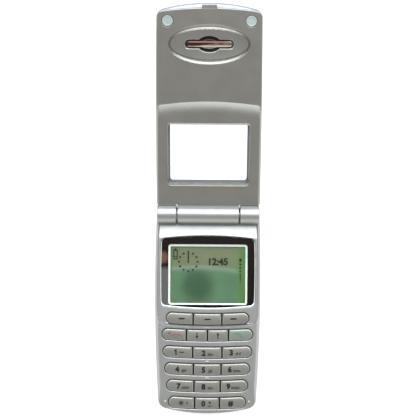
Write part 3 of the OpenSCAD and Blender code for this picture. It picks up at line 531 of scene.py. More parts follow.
def fill(tree: Tree, node: Node, inputs: Inputs) -> None:
    """Link or set a node's inputs.

    Args:
        tree: Tree that holds the node.
        node: Node whose inputs are filled.
        inputs: A socket to link or a plain value, by the name or number of each input.
    """
    for key, value in inputs.items():
        if isinstance(value, Socket):
            tree.links.new(value, node.inputs[key])
        elif node.inputs[key].type == "RGBA":
            node.inputs[key].default_value = (*value, 1)
        else:
            node.inputs[key].default_value = value


def add_node(tree: Tree, kind: str, inputs: Optional[Inputs] = None,
             **settings: object) -> Node:
    """Add a shader node.

    Args:
        tree: Tree that the node joins.
        kind: Kind of node, without the prefix that all of them share.
        inputs: What each input is linked or set to.
        settings: The node's own properties.

    Returns:
        The new node.
    """
    node = tree.nodes.new("ShaderNode" + kind)
    for name, value in settings.items():
        setattr(node, name, value)
    fill(tree, node, inputs or {})
    return node


def maths(tree: Tree, operation: str, *values: object) -> Socket:
    """Result of a sum on sockets or plain numbers."""
    return add_node(tree, "Math", dict(enumerate(values)), operation=operation).outputs[0]


def mixed(tree: Tree, factor: object, a: object, b: object,
          blend: str = "MIX") -> Socket:
    """Mix of two colours, each a socket or a plain colour.

    Args:
        tree: Tree that the node joins.
        factor: Share of the second colour.
        a: First colour.
        b: Second colour.
        blend: How they are put together.

    Returns:
        The mixed colour.
    """
    inputs = {"Factor": factor, "A": a, "B": b}
    return add_node(tree, "Mix", inputs, data_type="RGBA", blend_type=blend).outputs["Result"]


def noise(tree: Tree, where: Socket,
          **inputs: object) -> Socket:
    """Cloudy noise over the places that a socket gives."""
    return add_node(tree, "TexNoise", {"Vector": where, **inputs}).outputs["Fac"]


def place_of(tree: Tree) -> Socket:
    """Place on the piece in its own coordinates."""
    return add_node(tree, "TexCoord").outputs["Object"]


def stepped(tree: Tree, value: Socket, low: float,
            high: float) -> Socket:
    """Smooth step of a value from 0 at low to 1 at high."""
    inputs = {"Value": value, "From Min": low, "From Max": high}
    return add_node(tree, "MapRange", inputs, interpolation_type="SMOOTHSTEP").outputs["Result"]


def spotted(tree: Tree, where: Socket, centre: tuple[float, float],
            outer: float, inner: float) -> Socket:
    """Soft round mask on the display, 0 past the outer radius and 1 inside the inner one.

    Args:
        tree: Tree that the nodes join.
        where: Place on the piece.
        centre: The mask's middle, in metres.
        outer: Radius where it ends.
        inner: Radius where it is full.

    Returns:
        The mask.
    """
    ends = {0: where, 1: (*centre, DISPLAY_Z)}
    away = add_node(tree, "VectorMath", ends, operation="SUBTRACT").outputs["Vector"]
    length = add_node(tree, "VectorMath", {0: away}, operation="LENGTH").outputs["Value"]
    return stepped(tree, length, outer, inner)


class Sheens:
    """Shader node groups that several finishes share, each built once."""

    _groups: dict[str, Tree] = {}

    @classmethod
    def paint(cls) -> Tree:
        """Metallic flake and soft mottling of sprayed silver, with wear on its edges.

        Returns:
            The group.
        """
        inputs = {"Colour": (0.6, 0.6, 0.6, 1), "Flake": 0.1, "Mottle": 0.05, "Roughness": 0.35,
                  "Wear": 0.2}
        return cls._shared("sprayed_silver", inputs, cls._sprayed)

    @classmethod
    def grain(cls) -> Tree:
        """Fine moulded or cast grain with slight staining."""
        inputs = {"Colour": (0.5, 0.5, 0.5, 1), "Stain": 0.1, "Roughness": 0.5, "Scale": 1500.0}
        return cls._shared("fine_grain", inputs, cls._grained)

    @classmethod
    def _shared(cls, name: str, inputs: dict[str, object],
                wired: Callable[[Tree, object], Inputs]) -> Tree:
        """Find a group, or build it on first use.

        Args:
            name: Name of the group.
            inputs: Default value of each input socket.
            wired: Adds the nodes between the group's inputs and its outputs.

        Returns:
            The group, which gives a colour, a roughness and a height.
        """
        if name not in cls._groups:
            tree = bpy.data.node_groups.new(name, "ShaderNodeTree")
            for socket, value in inputs.items():
                kind = "NodeSocketColor" if isinstance(value, tuple) else "NodeSocketFloat"
                made = tree.interface.new_socket(name=socket, in_out="INPUT", socket_type=kind)
                made.default_value = value
            for socket, kind in (("Colour", "Color"), ("Roughness", "Float"), ("Height", "Float")):
                tree.interface.new_socket(name=socket, in_out="OUTPUT",
                                          socket_type="NodeSocket" + kind)
            given, out = tree.nodes.new("NodeGroupInput"), tree.nodes.new("NodeGroupOutput")
            fill(tree, out, wired(tree, given.outputs))
            cls._groups[name] = tree
        return cls._groups[name]

    @classmethod
    def _sprayed(cls, tree: Tree, given: object) -> Inputs:
        """Nodes of sprayed paint: flakes and clouds dim it, and its edges are worn bright.

        Args:
            tree: The group's tree.
            given: Sockets of the group's inputs.

        Returns:
            What feeds each of the group's outputs.
        """
        where = place_of(tree)
        flake = add_node(tree, "TexVoronoi", {"Vector": where, "Scale": 9000}).outputs["Distance"]
        cloud = noise(tree, where, Scale=160, Detail=4)
        both = maths(tree, "MULTIPLY", cls._dip(tree, flake, given["Flake"]),
                     cls._dip(tree, cloud, given["Mottle"]))
        edge = add_node(tree, "NewGeometry").outputs["Pointiness"]
        ramp = add_node(tree, "MapRange", {"Value": edge, "From Min": 0.56, "From Max": 0.72})
        worn = maths(tree, "MULTIPLY", ramp.outputs["Result"], given["Wear"])
        tint = mixed(tree, 1.0, given["Colour"], both, "MULTIPLY")
        return {"Colour": mixed(tree, worn, tint, (0.86, 0.87, 0.88)),
                "Roughness": maths(tree, "MULTIPLY_ADD", cloud, 0.12, given["Roughness"]),
                "Height": flake}

    @classmethod
    def _grained(cls, tree: Tree, given: object) -> Inputs:
        """Nodes of a fine grain: clouds stain it, and the grain roughens it.

        Args:
            tree: The group's tree.
            given: Sockets of the group's inputs.

        Returns:
            What feeds each of the group's outputs.
        """
        where = place_of(tree)
        fine = noise(tree, where, Detail=3, Scale=given["Scale"])
        patch = cls._dip(tree, noise(tree, where, Scale=220), given["Stain"])
        return {"Colour": mixed(tree, 1.0, given["Colour"], patch, "MULTIPLY"),
                "Roughness": maths(tree, "MULTIPLY_ADD", fine, 0.15, given["Roughness"]),
                "Height": fine}

    @staticmethod
    def _dip(tree: Tree, mask: object, amount: object) -> Socket:
        """Factor near one that dips by amount where mask is low.

        Args:
            tree: The group's tree.
            mask: Mask around one half.
            amount: How far the factor dips.

        Returns:
            The factor.
        """
        less = maths(tree, "SUBTRACT", mask, 0.5)
        return maths(tree, "ADD", maths(tree, "MULTIPLY", less, amount), 1.0)


@dataclass(frozen=True)
class Finish:
    """A finish with a plain shader and no pattern."""

    name: str
    slot: str
    colour: Colour
    metallic: float = 0.0
    roughness: float = 0.4
    coat: float = 0.0

    def material(self) -> bpy.types.Material:
        """The finish's material, made on first use.

        Returns:
            The material.
        """
        found = bpy.data.materials.get(self.name)
        if found:
            return found
        made = bpy.data.materials.new(self.name)
        made.use_nodes = True
        shader = made.node_tree.nodes["Principled BSDF"]
        fill(made.node_tree, shader, {"Base Color": self.colour, "Metallic": self.metallic,
                                      "Roughness": self.roughness, "Coat Weight": self.coat})
        self.detail(made.node_tree, shader)
        return made

    def detail(self, tree: Tree, shader: Node) -> None:
        """Add the finish's own pattern. A plain finish has none."""

    def dress(self, piece: Piece) -> Piece:
        """Put the finish on a piece.

        Args:
            piece: The piece.

        Returns:
            The same piece.
        """
        piece.data.materials.clear()
        piece.data.materials.append(self.material())
        return piece

    def lay(self, tree: Tree, shader: Node, group: Tree,
            strength: float, depth: float, **inputs: float) -> None:
        """Feed a shared group into the shader's colour, roughness and normal.

        Args:
            tree: The material's tree.
            shader: Its shader.
            group: The shared group.
            strength: How strongly the group's height bends the normal.
            depth: How deep that height is, in metres.
            inputs: Values of the group's own inputs.
        """
        given = {"Colour": self.colour, "Roughness": self.roughness, **inputs}
        made = add_node(tree, "Group", given, node_tree=group).outputs
        bump = add_node(tree, "Bump", {"Strength": strength, "Distance": depth,
                                       "Height": made["Height"]})
        fill(tree, shader, {"Base Color": made["Colour"], "Roughness": made["Roughness"],
                            "Normal": bump.outputs["Normal"]})


@dataclass(frozen=True)
class Paint(Finish):
    """Sprayed metallic paint."""

    flake: float = 0.25
    mottle: float = 0.12
    wear: float = 0.25
    edge: Colour = (0.55, 0.58, 0.62)

    def detail(self, tree: Tree, shader: Node) -> None:
        """Place the shared paint group with this paint's values.

        Args:
            tree: The material's tree.
            shader: Its shader.
        """
        fill(tree, shader, {"Coat Roughness": 0.12, "Specular Tint": self.edge})
        self.lay(tree, shader, Sheens.paint(), 0.12, 0.00002, Flake=self.flake,
                 Mottle=self.mottle, Wear=self.wear)


@dataclass(frozen=True)
class Moulded(Finish):
    """Moulded, cast or rolled stuff with a fine grain."""

    stain: float = 0.12
    grain: float = 1500.0
    depth: float = 0.00002
    gloss: float = 0.5

    def detail(self, tree: Tree, shader: Node) -> None:
        """Place the shared grain group with this finish's values.

        Args:
            tree: The material's tree.
            shader: Its shader.
        """
        fill(tree, shader, {"Specular IOR Level": self.gloss})
        self.lay(tree, shader, Sheens.grain(), 0.25, self.depth, Stain=self.stain,
                 Scale=self.grain)


@dataclass(frozen=True)
class Sheen(Finish):
    """Half-silvered print with a painted reflection: grey low down on one side, with a warm patch
    over the grey.
    """

    # Colours and extent of the painted reflection: grey low on the left, a warm patch over it.
    grey: Colour = (0.36, 0.34, 0.31)
    reflection_grey_from_x: tuple[float, float] = (-0.0158, -0.0176)
    reflection_grey_from_y: tuple[float, float] = (0.0208, 0.0184)
    ragged: float = 0.002
    warm: Colour = (0.46, 0.24, 0.14)
    reflection_patch_at: tuple[float, float] = (-0.0198, 0.0232)
    reflection_patch_r: tuple[float, float] = (0.0040, 0.0018)

    def detail(self, tree: Tree, shader: Node) -> None:
        """Let the painted reflection's grey and warm patch come up softly.

        Args:
            tree: The material's tree.
            shader: Its shader.
        """
        where = place_of(tree)
        split = add_node(tree, "SeparateXYZ", {0: where}).outputs
        shift = maths(tree, "MULTIPLY_ADD", noise(tree, where, Scale=150), self.ragged, split["Y"])
        both = maths(tree, "MULTIPLY", stepped(tree, split["X"], *self.reflection_grey_from_x),
                     stepped(tree, shift, *self.reflection_grey_from_y))
        tone = mixed(tree, both, self.colour, self.grey)
        patch = spotted(tree, where, self.reflection_patch_at, *self.reflection_patch_r)
        fill(tree, shader, {"Base Color": mixed(tree, patch, tone, self.warm)})


@dataclass(frozen=True)
class Plate(Finish):
    """Bright plating, darker in long soft streaks."""

    dark_streak_tone: Colour = (0.10, 0.055, 0.045)
    streak: tuple[float, float, float] = (90, 420, 420)
    turn: float = 0.16

    def detail(self, tree: Tree, shader: Node) -> None:
        """Run the streaks along the bar.

        Args:
            tree: The material's tree.
            shader: Its shader.
        """
        stretch = add_node(tree, "Mapping", {"Vector": place_of(tree), "Scale": self.streak,
                                             "Rotation": (0, 0, self.turn)})
        cloud = noise(tree, stretch.outputs["Vector"], Scale=1.0, Detail=2)
        tone = mixed(tree, stepped(tree, cloud, 0.40, 0.58), self.dark_streak_tone, self.colour)
        fill(tree, shader, {"Base Color": tone})


@dataclass(frozen=True)
class Glass(Finish):
    """Clear moulded lens."""

    ior: float = 1.49
    wiped: float = 0.03

    def detail(self, tree: Tree, shader: Node) -> None:
        """Let light through, with faint wiping marks in the gloss.

        Args:
            tree: The material's tree.
            shader: Its shader.
        """
        marks = noise(tree, place_of(tree), Scale=90, Detail=5)
        ramp = add_node(tree, "MapRange", {"Value": marks, "From Min": 0.35, "From Max": 0.75,
                                           "To Min": self.roughness,
                                           "To Max": self.roughness + self.wiped})
        fill(tree, shader, {"Transmission Weight": 1.0, "IOR": self.ior,
                            "Roughness": ramp.outputs["Result"]})
        shadow = add_node(tree, "LightPath").outputs["Is Shadow Ray"]
        clear = add_node(tree, "BsdfTransparent").outputs["BSDF"]
        both = add_node(tree, "MixShader", {"Fac": shadow, 1: shader.outputs["BSDF"], 2: clear})
        fill(tree, tree.nodes["Material Output"], {"Surface": both.outputs["Shader"]})


@dataclass(frozen=True)
class Screen(Finish):
    """Backlit green panel: brighter at its lit edge, cooler across its middle, with a painted
    reflection of a pale arc and a dark round spot.
    """

    lit: Colour = (0.062, 0.15, 0.024)
    warm: Colour = (0.13, 0.145, 0.072)
    cool: Colour = (0.07, 0.145, 0.075)
    # Dark tone of the top edge and of the painted reflection's round spot; the arc tone below is a
    # painted reflection.
    deep: Colour = (0.02, 0.062, 0.026)
    reflection_arc: Colour = (0.21, 0.25, 0.20)
    rim: Colour = (0.06, 0.17, 0.04)
    reflection_arc_drop: float = 0.0935
    glow: float = 0.15

    def detail(self, tree: Tree, shader: Node) -> None:
        """Blend the panel's tones over its face, with a fine dot grid; the pale arc and the dark
        round spot are painted reflections.

        Args:
            tree: The material's tree.
            shader: Its shader.
        """
        where = place_of(tree)
        split = add_node(tree, "SeparateXYZ", {0: where}).outputs
        low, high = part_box("lcd_panel")
        x, y = split["X"], split["Y"]
        reflection_arc_at = (-0.004, high.y - self.reflection_arc_drop)
        # Painted reflection: a thin pale arc across the panel.
        reflection_band = maths(tree, "SUBTRACT", spotted(tree, where, reflection_arc_at, 0.0848, 0.0836),
                     spotted(tree, where, reflection_arc_at, 0.0836, 0.0812))
        tone = self.cool
        for mask, colour in (
            (stepped(tree, y, high.y - 0.0125, high.y - 0.0085), self.warm),
            # painted reflection: a dark round spot in the middle
            (spotted(tree, where, (-0.0045, high.y - 0.0183), 0.0100, 0.003), self.deep),
            (maths(tree, "MULTIPLY", reflection_band, 0.5), self.reflection_arc),
            (stepped(tree, x, high.x - 0.007, high.x - 0.0005), self.lit),
            (stepped(tree, x, low.x + 0.0025, low.x), self.rim),
            (stepped(tree, y, high.y - 0.0022, high.y - 0.0006), self.deep),
        ):
            tone = mixed(tree, mask, tone, colour)
        haze = mixed(tree, 0.25, tone, noise(tree, where, Scale=140, Detail=2), "MULTIPLY")
        dots = add_node(tree, "TexChecker", {"Vector": where, "Scale": 6600, "Color1": (1, 1, 1),
                                             "Color2": (0.93, 0.95, 0.93)}).outputs["Color"]
        cells = mixed(tree, 1.0, haze, dots, "MULTIPLY")
        fill(tree, shader, {"Base Color": cells, "Emission Color": cells,
                            "Emission Strength": self.glow})


SILVER = Paint("silver_paint", "silver_housing", (0.42, 0.425, 0.415), 0.8, 0.28)
# The base's silver paint made darker and warmer for the lid panel: painted shade for the darker
# surroundings it reflects.
SHADED_PANEL = Paint("shaded_silver_panel_paint", "silver_panel", (0.33, 0.32, 0.295), 0.8, 0.28)
PALE = Paint("pale_silver_paint", "pale_silver_cover", (0.39, 0.41, 0.455), 0.8, 0.25,
             edge=(0.22, 0.25, 0.32))
KEYCAP = Paint("key_paint", "key_cap", (0.35, 0.343, 0.318), 0.7, 0.2, 0.0, 0.3, 0.1, 0.3)
SEND_CAP = Paint("send_key_paint", "key_cap", (0.315, 0.365, 0.315), 0.6, 0.2, 0.0, 0.3, 0.1, 0.3)
CHROME = Plate("bright_chrome_plate", "bright_chrome", (0.52, 0.43, 0.38), 1.0, 0.1)
# Dark display border print, with a painted reflection in grey and warm patches on its left side.
MIRROR = Sheen("dark_mirror_print", "dark_mirror_mask", (0.022, 0.012, 0.009), 0.4, 0.05)
# Near-white seat under the lens edge: partly a painted highlight of the lit recess lip.
HIGHLIT_SEAT = Moulded("pale_seat_painted_highlight", "pale_silver_cover", (0.95, 0.94, 0.88), 0.0, 0.35, 0.0, 0.04)
WHITE = Moulded("white_moulding", "white_frame", (0.97, 0.98, 0.93), 0.0, 0.4, 0.0, 0.04)
LENS = Glass("clear_lens_glass", "clear_lens", (0.97, 1.0, 0.98), 0.0, 0.015, ior=1.36)
WINDOW = Glass("clear_window_glass", "clear_lens", (0.99, 1.0, 1.0), 0.0, 0.01)
SCREEN = Screen("green_screen", "green_display", (0.1, 0.3, 0.1), 0.0, 0.25)
INK = Moulded("dark_ink", "dark_plastic", (0.012, 0.013, 0.014), 0.0, 0.5, 0.0, 0.1, gloss=0.15)
SEGMENT = Moulded("screen_segment", "dark_plastic", (0.006, 0.012, 0.006), 0.0, 0.5, 0.0, 0.1,
                  gloss=0.0)
FAINT_INK = Moulded("faint_ink", "dark_plastic", (0.05, 0.055, 0.045), 0.0, 0.5, 0.0, 0.1,
                    gloss=0.15)
RED_INK = Moulded("red_ink", "dark_plastic", (0.27, 0.06, 0.07), 0.0, 0.45, 0.0, 0.1)
GREEN_INK = Moulded("green_ink", "dark_plastic", (0.06, 0.16, 0.09), 0.0, 0.45, 0.0, 0.1)
RUBBER = Moulded("pale_rubber_pad", "pale_rubber", (0.38, 0.44, 0.42), 0.0, 0.45, 0.2, 0.3, 1800.0)
DARK = Moulded("dark_moulding", "dark_plastic", (0.02, 0.02, 0.022), 0.0, 0.4)
MAT = Moulded("silicone_keypad", "silicone_mat", (0.02, 0.02, 0.021), 0.0, 0.6)
GUIDE = Moulded("milky_light_guide", "milky_guide", (0.82, 0.88, 0.82), 0.0, 0.35)
BOARD = Moulded("green_laminate", "board_laminate", (0.03, 0.16, 0.08), 0.0, 0.4, 0.3, 0.25, 900.0)
TIN = Moulded("tinned_sheet", "tinned_can", (0.66, 0.65, 0.62), 0.9, 0.3, 0.0, 0.1, 700.0)
GOLD = Moulded("gold_flash", "gold_contact", (0.75, 0.55, 0.24), 1.0, 0.28, 0.0, 0.08)
DENSE = Moulded("sintered_weight", "dense_metal", (0.34, 0.34, 0.36), 1.0, 0.42, 0.0, 0.15)
CARD = Moulded("white_card_stock", "white_card", (0.85, 0.86, 0.88), 0.0, 0.5)
CELL = Moulded("cell_sleeve", "cell_can", (0.30, 0.34, 0.38), 0.3, 0.35, 0.3)
STEEL = Moulded("plated_steel", "screw_steel", (0.58, 0.57, 0.56), 1.0, 0.3, 0.0, 0.12)
FOAM = Moulded("black_foam_ring", "black_foam", (0.015, 0.015, 0.015), 0.0, 0.9, 0.0, 0.3, 3000.0)
FILM = Moulded("amber_film", "flex_film", (0.42, 0.20, 0.03), 0.0, 0.3, 0.3)


# ---------------------------------------------------------------- base


@dataclass(frozen=True)
class Row:
    """One row of keys, with the places where it splits into keys."""

    reach: float
    half_w: float
    edges: tuple[float, ...]
    face: float
    key_l: float
    sag: float

    def centre(self, x: Array) -> Array:
        """Reach of the row's centre line at x."""
        return self.reach - self.sag * (x / self.half_w) ** 2

    def loop(self, x0: float, x1: float, grow: float) -> Array:
        """Outline of what fills the row from x0 to x1.

        Args:
            x0: Left end; the row's own end is round.
            x1: Right end; the row's own end is round.
            grow: How far the outline is drawn out.

        Returns:
            Points as rows of x and u.
        """
        bend = self.half_w - self.key_l / 2
        hh = self.key_l / 2 + grow
        left, right = x0 <= -self.half_w, x1 >= self.half_w
        xa = -bend if left else x0 - grow
        xb = bend if right else x1 + grow
        xs = np.linspace(xa, xb, round((x1 - x0) / 0.8) + 2)
        parts = [np.stack([xs, self.centre(xs) + hh], 1)]
        turn = np.radians(np.arange(82.5, -90, -7.5))
        end = np.stack([hh * np.cos(turn), hh * np.sin(turn)], 1)
        at = float(self.centre(bend))
        if right:
            parts.append(end + [bend, at])
        parts.append(np.stack([xs, self.centre(xs) - hh], 1)[::-1])
        if left:
            parts.append(end[::-1] * [-1, 1] + [-bend, at])
        return np.concatenate(parts)


@dataclass(frozen=True)
class Box:
    """Box of a CAD node in the base's flat frame, in millimetres."""

    w: float
    l: float
    at: float
    low: float
    high: float


@dataclass
class BaseForm:
    """Sizes of the base that its housings, keys and display share."""

    hinge: Vector
    width: float = 46.6
    reach: float = 87.0
    behind: float = 3.0
    top: float = 15.0
    parting: float = 7.5
    saddle: float = 13.7
    saddle_reach: float = 49.0
    saddle_r: float = 200.0
    bow_at: float = 30.0
    bow_r: float = 777.0
    slope: float = 0.9
    rail: float = 1.0
    rail_corner: float = 3.5
    fall_reach: float = 10.2
    fall_foot: float = 12.6
    hinge_r: float = 4.2
    trough_r: float = 4.55
    knuckle_in: float = 13.65
    knuckle_out: float = 22.1
    key_l: float = 4.8
    row_pitch: float = 7.3
    row_sag: float = 0.7
    digits_at: float = 60.0

    def outline(self) -> Outline:
        """Plan of the base, with close points where its surface changes level.

        Returns:
            The outline.
        """
        coarse = np.arange(72.0, 50.0, -1.5)
        step = np.arange(49.6, 42.0, -0.25)
        middle = np.arange(41.0, 12.0, -1.5)
        fall = np.arange(11.0, 4.0, -0.35)
        end = np.array([3.9, 2.5, 1.0, -0.5, -1.7, -2.4])
        stops = tuple(np.concatenate([coarse, step, middle, fall, end]))
        return Outline(self.reach, self.width / 2, -self.behind, 75.0, 4.3, self.bow_at,
                       self.bow_r, stops)

    def place(self) -> Place:
        """Where the base's flat frame lies."""
        return Place(Vector((0, self.hinge.y, 0)), 0.0, -1)

    def box(self, node: str) -> Box:
        """Box of a CAD node of the base.

        Args:
            node: Name of the node.

        Returns:
            Its box.
        """
        low, high = (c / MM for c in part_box(node))
        at = self.hinge.y / MM - (low.y + high.y) / 2
        return Box(high.x - low.x, high.y - low.y, at, low.z, high.z)

    def climb(self, x: Array, u: Array) -> Array:
        """Share of the climb from the sunken display face to the keypad and the side rails.

        Args:
            x: Places across.
            u: Reaches.

        Returns:
            Shares from 0 to 1.
        """
        line = np.hypot(x, u - (self.saddle_reach - self.saddle_r)) - self.saddle_r
        side = np.abs(x) - (self.outline_side(u) - self.rail)
        c = self.rail_corner
        round_off = np.hypot(np.maximum(line + c, 0.0), np.maximum(side + c, 0.0)) - c
        past = np.where((line > -c) & (side > -c), round_off, np.maximum(line, side))
        return eased((past + self.slope) / self.slope)

    def step_line(self, past: float) -> Array:
        """Right half of the line along which the step up from the display face is equally high.

        Args:
            past: How far past the head of the step the line lies.

        Returns:
            Points as rows of x and u, from the middle to the rail's hinge end.
        """
        c = self.rail_corner
        turn = np.linspace(0, math.pi / 2, 16)
        line = np.concatenate([np.full(26, past), (c + past) * np.cos(turn) - c])
        side = (c + past) * np.sin(turn) - c
        x = np.concatenate([np.linspace(0, 18.2, 26), side + 22.0])
        for _ in range(6):
            r = line + self.saddle_r
            u = self.saddle_reach - self.saddle_r + np.sqrt(r * r - x * x)
            x[26:] = side + self.outline_side(u[26:]) - self.rail
        down = np.arange(float(u[-1]) - 0.8, 4.4, -1.2)
        rail = np.stack([past + self.outline_side(down) - self.rail, down], 1)
        return np.concatenate([np.stack([x, u], 1), rail])

    def outline_side(self, u: Array) -> Array:
        """Half width of the base at reach u."""
        return bowed(self.width / 2, self.bow_at, self.bow_r, u)

    def face(self, x: Array, u: Array) -> Array:
        """Height of the base's upper face.

        Args:
            x: Places across.
            u: Reaches.

        Returns:
            Heights over the floor.
        """
        level = self.saddle + (self.top - self.saddle) * self.climb(x, u)
        t = np.clip((self.fall_reach - u) / (self.fall_reach - self.hinge_r), 0, 1)
        fall = (self.saddle - self.fall_foot) * (t * 1.25 - 0.25 * t * t)
        foot = 0.5 * eased((self.hinge_r - u) / 0.5)
        trough = self.hinge.z / MM - np.sqrt(np.maximum(self.trough_r**2 - u * u, 0.0))
        cut = (np.abs(x) < self.knuckle_in) & (np.abs(u) < self.trough_r)
        level = level - fall - foot
        return np.where(cut, np.minimum(level, trough), level)

    def rows(self) -> list[Row]:
        """The six rows of keys, from the display to the tip.

        Returns:
            The rows, with the soft keys first.
        """
        # Reach of each row, and where the right half of it splits and ends.
        plans = [(45.6, (6.25, 17.9)), (52.5, (0.0, 9.1, 19.6))]
        plans += [(self.digits_at + i * self.row_pitch, (6.35 - 0.33 * i, 19.2 - 0.84 * i))
                  for i in range(4)]
        rows = []
        for reach, ends in plans:
            edges = tuple(dict.fromkeys((*(-e for e in reversed(ends)), *ends)))
            face = self.top if rows else self.saddle
            rows.append(Row(reach, ends[-1], edges, face, self.key_l, self.row_sag))
        return rows


@dataclass
class BaseHousings:
    """Front housing of the base, with its knuckles and nubs."""

    form: BaseForm
    key_gap: float = 0.2
    fillet: float = 0.4
    wall: float = 1.5
    lens_clear: float = 0.15
    lens_fillet: float = 0.25
    nub_at: float = 81.2
    nub_in: float = 3.5

    def hole(self, skin: Skin, loops: Loops, floor: Height,
             fillet: float) -> tuple:
        """Filleted hole through the upper face.

        Args:
            skin: Skin that the hole's walls are added to.
            loops: The hole's outline, drawn out by a distance.
            floor: Height at which the wall ends.
            fillet: Radius of the hole's upper edge.

        Returns:
            The ring on the upper face and the ring at the foot.
        """
        rings = [skin.drape(loops(fillet + 0.05), self.form.face)]
        for a in math.pi / 2 * np.arange(6) / 5:
            drop = fillet * (1 - math.cos(a))
            rings.append(skin.drape(loops(fillet * (1 - math.sin(a))), self.form.face, drop))
        rings.append(skin.drape(loops(0.0), floor))
        skin.bands(*rings)
        return rings[0], rings[-1]

    def front(self) -> Piece:
        """Build the front housing.

        Returns:
            The new object.
        """
        form, skin = self.form, Skin()
        plan = form.outline()
        ceiling = lambda x, u: form.face(x, u) - self.wall
        # Inset, share of the way up from the parting line, drop below the face, and inset behind.
        sides = [(0.05, 0.0, 0.0, 0.0), (0.07, 0.12, 0.0, 0.0), (0.25, 0.5, 0.0, 0.0),
                 (0.66, 1.0, 2.2, 0.03), (0.75, 1.0, 1.6, 0.06), (0.85, 1.0, 1.3, 0.1),
                 (0.96, 1.0, 1.02, 0.16), (1.08, 1.0, 0.76, 0.24), (1.23, 1.0, 0.52, 0.34),
                 (1.4, 1.0, 0.31, 0.46), (1.59, 1.0, 0.15, 0.6), (1.79, 1.0, 0.045, 0.78),
                 (1.95, 1.0, 0.0, 0.95), (2.0, 1.0, 0.0, 1.0)]
        rings = []
        for inset, share, drop, behind in sides:
            loop = self.narrowed(plan, inset, 0.05 + (inset - 0.05) * 0.45, behind)
            top = form.face(loop[:, 0], loop[:, 1])
            rings.append(skin.ring(loop, form.parting + share * (top - form.parting) - drop))
        skin.bands(*rings)
        # Inset along the sides and round the tip, share of the way up, and drop.
        inner = [(1.8, 1.1, 0.0, 0.0), (1.85, 1.12, 1.0, 0.6), (2.1, 1.2, 1.0, 0.15),
                 (2.6, 1.35, 1.0, 0.0)]
        under = []
        for inset, at_tip, share, drop in inner:
            loop = self.narrowed(plan, inset, at_tip, 1.6)
            low = ceiling(loop[:, 0], loop[:, 1])
            under.append(skin.ring(loop, form.parting + share * (low - form.parting) - drop))
        skin.bands(rings[0], *under)
        holes = []
        for row in form.rows():
            loops = lambda d, row=row: row.loop(-row.half_w, row.half_w, self.key_gap + d)
            holes.append(self.hole(skin, loops, ceiling, self.fillet))
        holes.append(self.lens_recess(skin, ceiling))
        spots = self.face_spots()
        skin.sheet(rings[-1], [h[0] for h in holes], spots, form.face)
        skin.sheet(under[-1], [h[1] for h in holes], spots, ceiling)
        for piece in self.knuckles() + self.nubs():
            skin.add(piece)
        return skin.build("front_housing_shell", form.place(), 32.0)

    @staticmethod
    def narrowed(plan: Outline, inset: float, at_tip: float, behind: float) -> Array:
        """Outline drawn in by inset along the sides and by at_tip round the tip."""
        sides, tip = plan.loop(inset, 0.0, behind), plan.loop(at_tip, 0.0, behind)
        return sides + (tip - sides) * eased((sides[:, 1:] - 74.0) / 8.0)

    def lens_recess(self, skin: Skin, ceiling: Height) -> tuple:
        """Recess that holds the display lens, with the panel's opening in its floor.

        Args:
            skin: Skin that the walls are added to.
            ceiling: Height of the back of the upper face.

        Returns:
            The ring on the upper face and the ring at the foot.
        """
        form, clear = self.form, 2 * self.lens_clear
        lens, frame = form.box("display_lens"), form.box("lcd_frame")
        ledge = form.box("display_mask").low
        loops = lambda d: lens_loop(lens.w + clear + 2 * d, lens.l + clear + 2 * d, LENS_BOW,
                                    LENS_R + d, lens.at)
        top, foot = self.hole(skin, loops, lambda x, u: np.full_like(x, ledge), self.lens_fillet)
        opening = rounded_rect(frame.w + 0.4, frame.l + 0.4, 1.2, frame.at)
        lip = skin.ring(opening, ledge)
        skin.sheet(foot, [lip])
        end = skin.drape(opening, ceiling)
        skin.bands(lip, end)
        return top, end

    def face_spots(self) -> Array:
        """Points that hold the slopes of the upper face.

        Returns:
            Points as rows of x and u.
        """
        form = self.form
        spots = []
        for t in np.linspace(-form.slope, 0.0, 7):
            line = form.step_line(float(t))
            spots += [line, line[1:] * [-1, 1]]
        across = (-21, 21)
        for ends in ((4.25, form.fall_reach, 1.2, 0.5), (3.7, 4.2, 0.6, 0.1),
                     (-2.4, 3.5, 1.2, 0.7)):
            spots.append(grid(*across, *ends))
        for s in (-1, 1):
            wall = form.knuckle_in * s
            spots.append(grid(wall - 0.05, wall + 0.05, -2.4, 4.6, 0.1, 0.35))
        spots.append(grid(*across, 50, 85, 1.5, 1.5) + [0.11, 0.07])
        return np.concatenate(spots)

    def knuckles(self) -> list[Skin]:
        """Outer knuckles of the hinge, each on a short foot.

        Returns:
            Two closed skins for each side.
        """
        form, made = self.form, []
        z, r = form.hinge.z / MM, form.hinge_r
        for s in (-1, 1):
            a, b = sorted((s * form.knuckle_in, s * form.knuckle_out))
            skin = revolved([(a, r - 0.5), (a + 0.07, r - 0.2), (a + 0.25, r), (b - 0.45, r),
                             (b - 0.2, r - 0.12), (b - 0.05, r - 0.35), (b, r - 0.7)])
            skin.points = [(x, u, h + z) for x, u, h in skin.points]
            mid, half = (a + b) / 2, (b - a) / 2
            foot = rounded_rect(2 * half - 0.1, 6.8 - 0.1, 0.5, 0.4) + [mid, 0]
            made += [skin, block_over(foot, form.parting + 0.2, z)]
        return made

    def nubs(self) -> list[Skin]:
        """Nubs that meet the lid's pads, and pips on the webs round the centre key.

        Returns:
            One closed skin for each nub and pip.
        """
        form, made = self.form, []
        side = float(form.outline_side(self.nub_at)) - self.nub_in
        for s in (-1, 1):
            made.append(dome(s * side, self.nub_at, 0.72, form.top - 0.4, form.top + 0.05, 0.5))
        for i in (0, 1):
            web = form.digits_at + (i + 0.5) * form.row_pitch + 0.15
            pip = dome(0, 0, 1.0, form.top - 0.3, form.top, 0.3)
            pip.points = [(x * 1.15, u * 0.45 + web, h) for x, u, h in pip.points]
            made.append(pip)
        return made

    def build(self) -> None:
        """Build and dress the front housing."""
        front = SILVER.dress(self.front())
        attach(front, Body.BASE.value)
        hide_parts("front_housing")
        report(front)


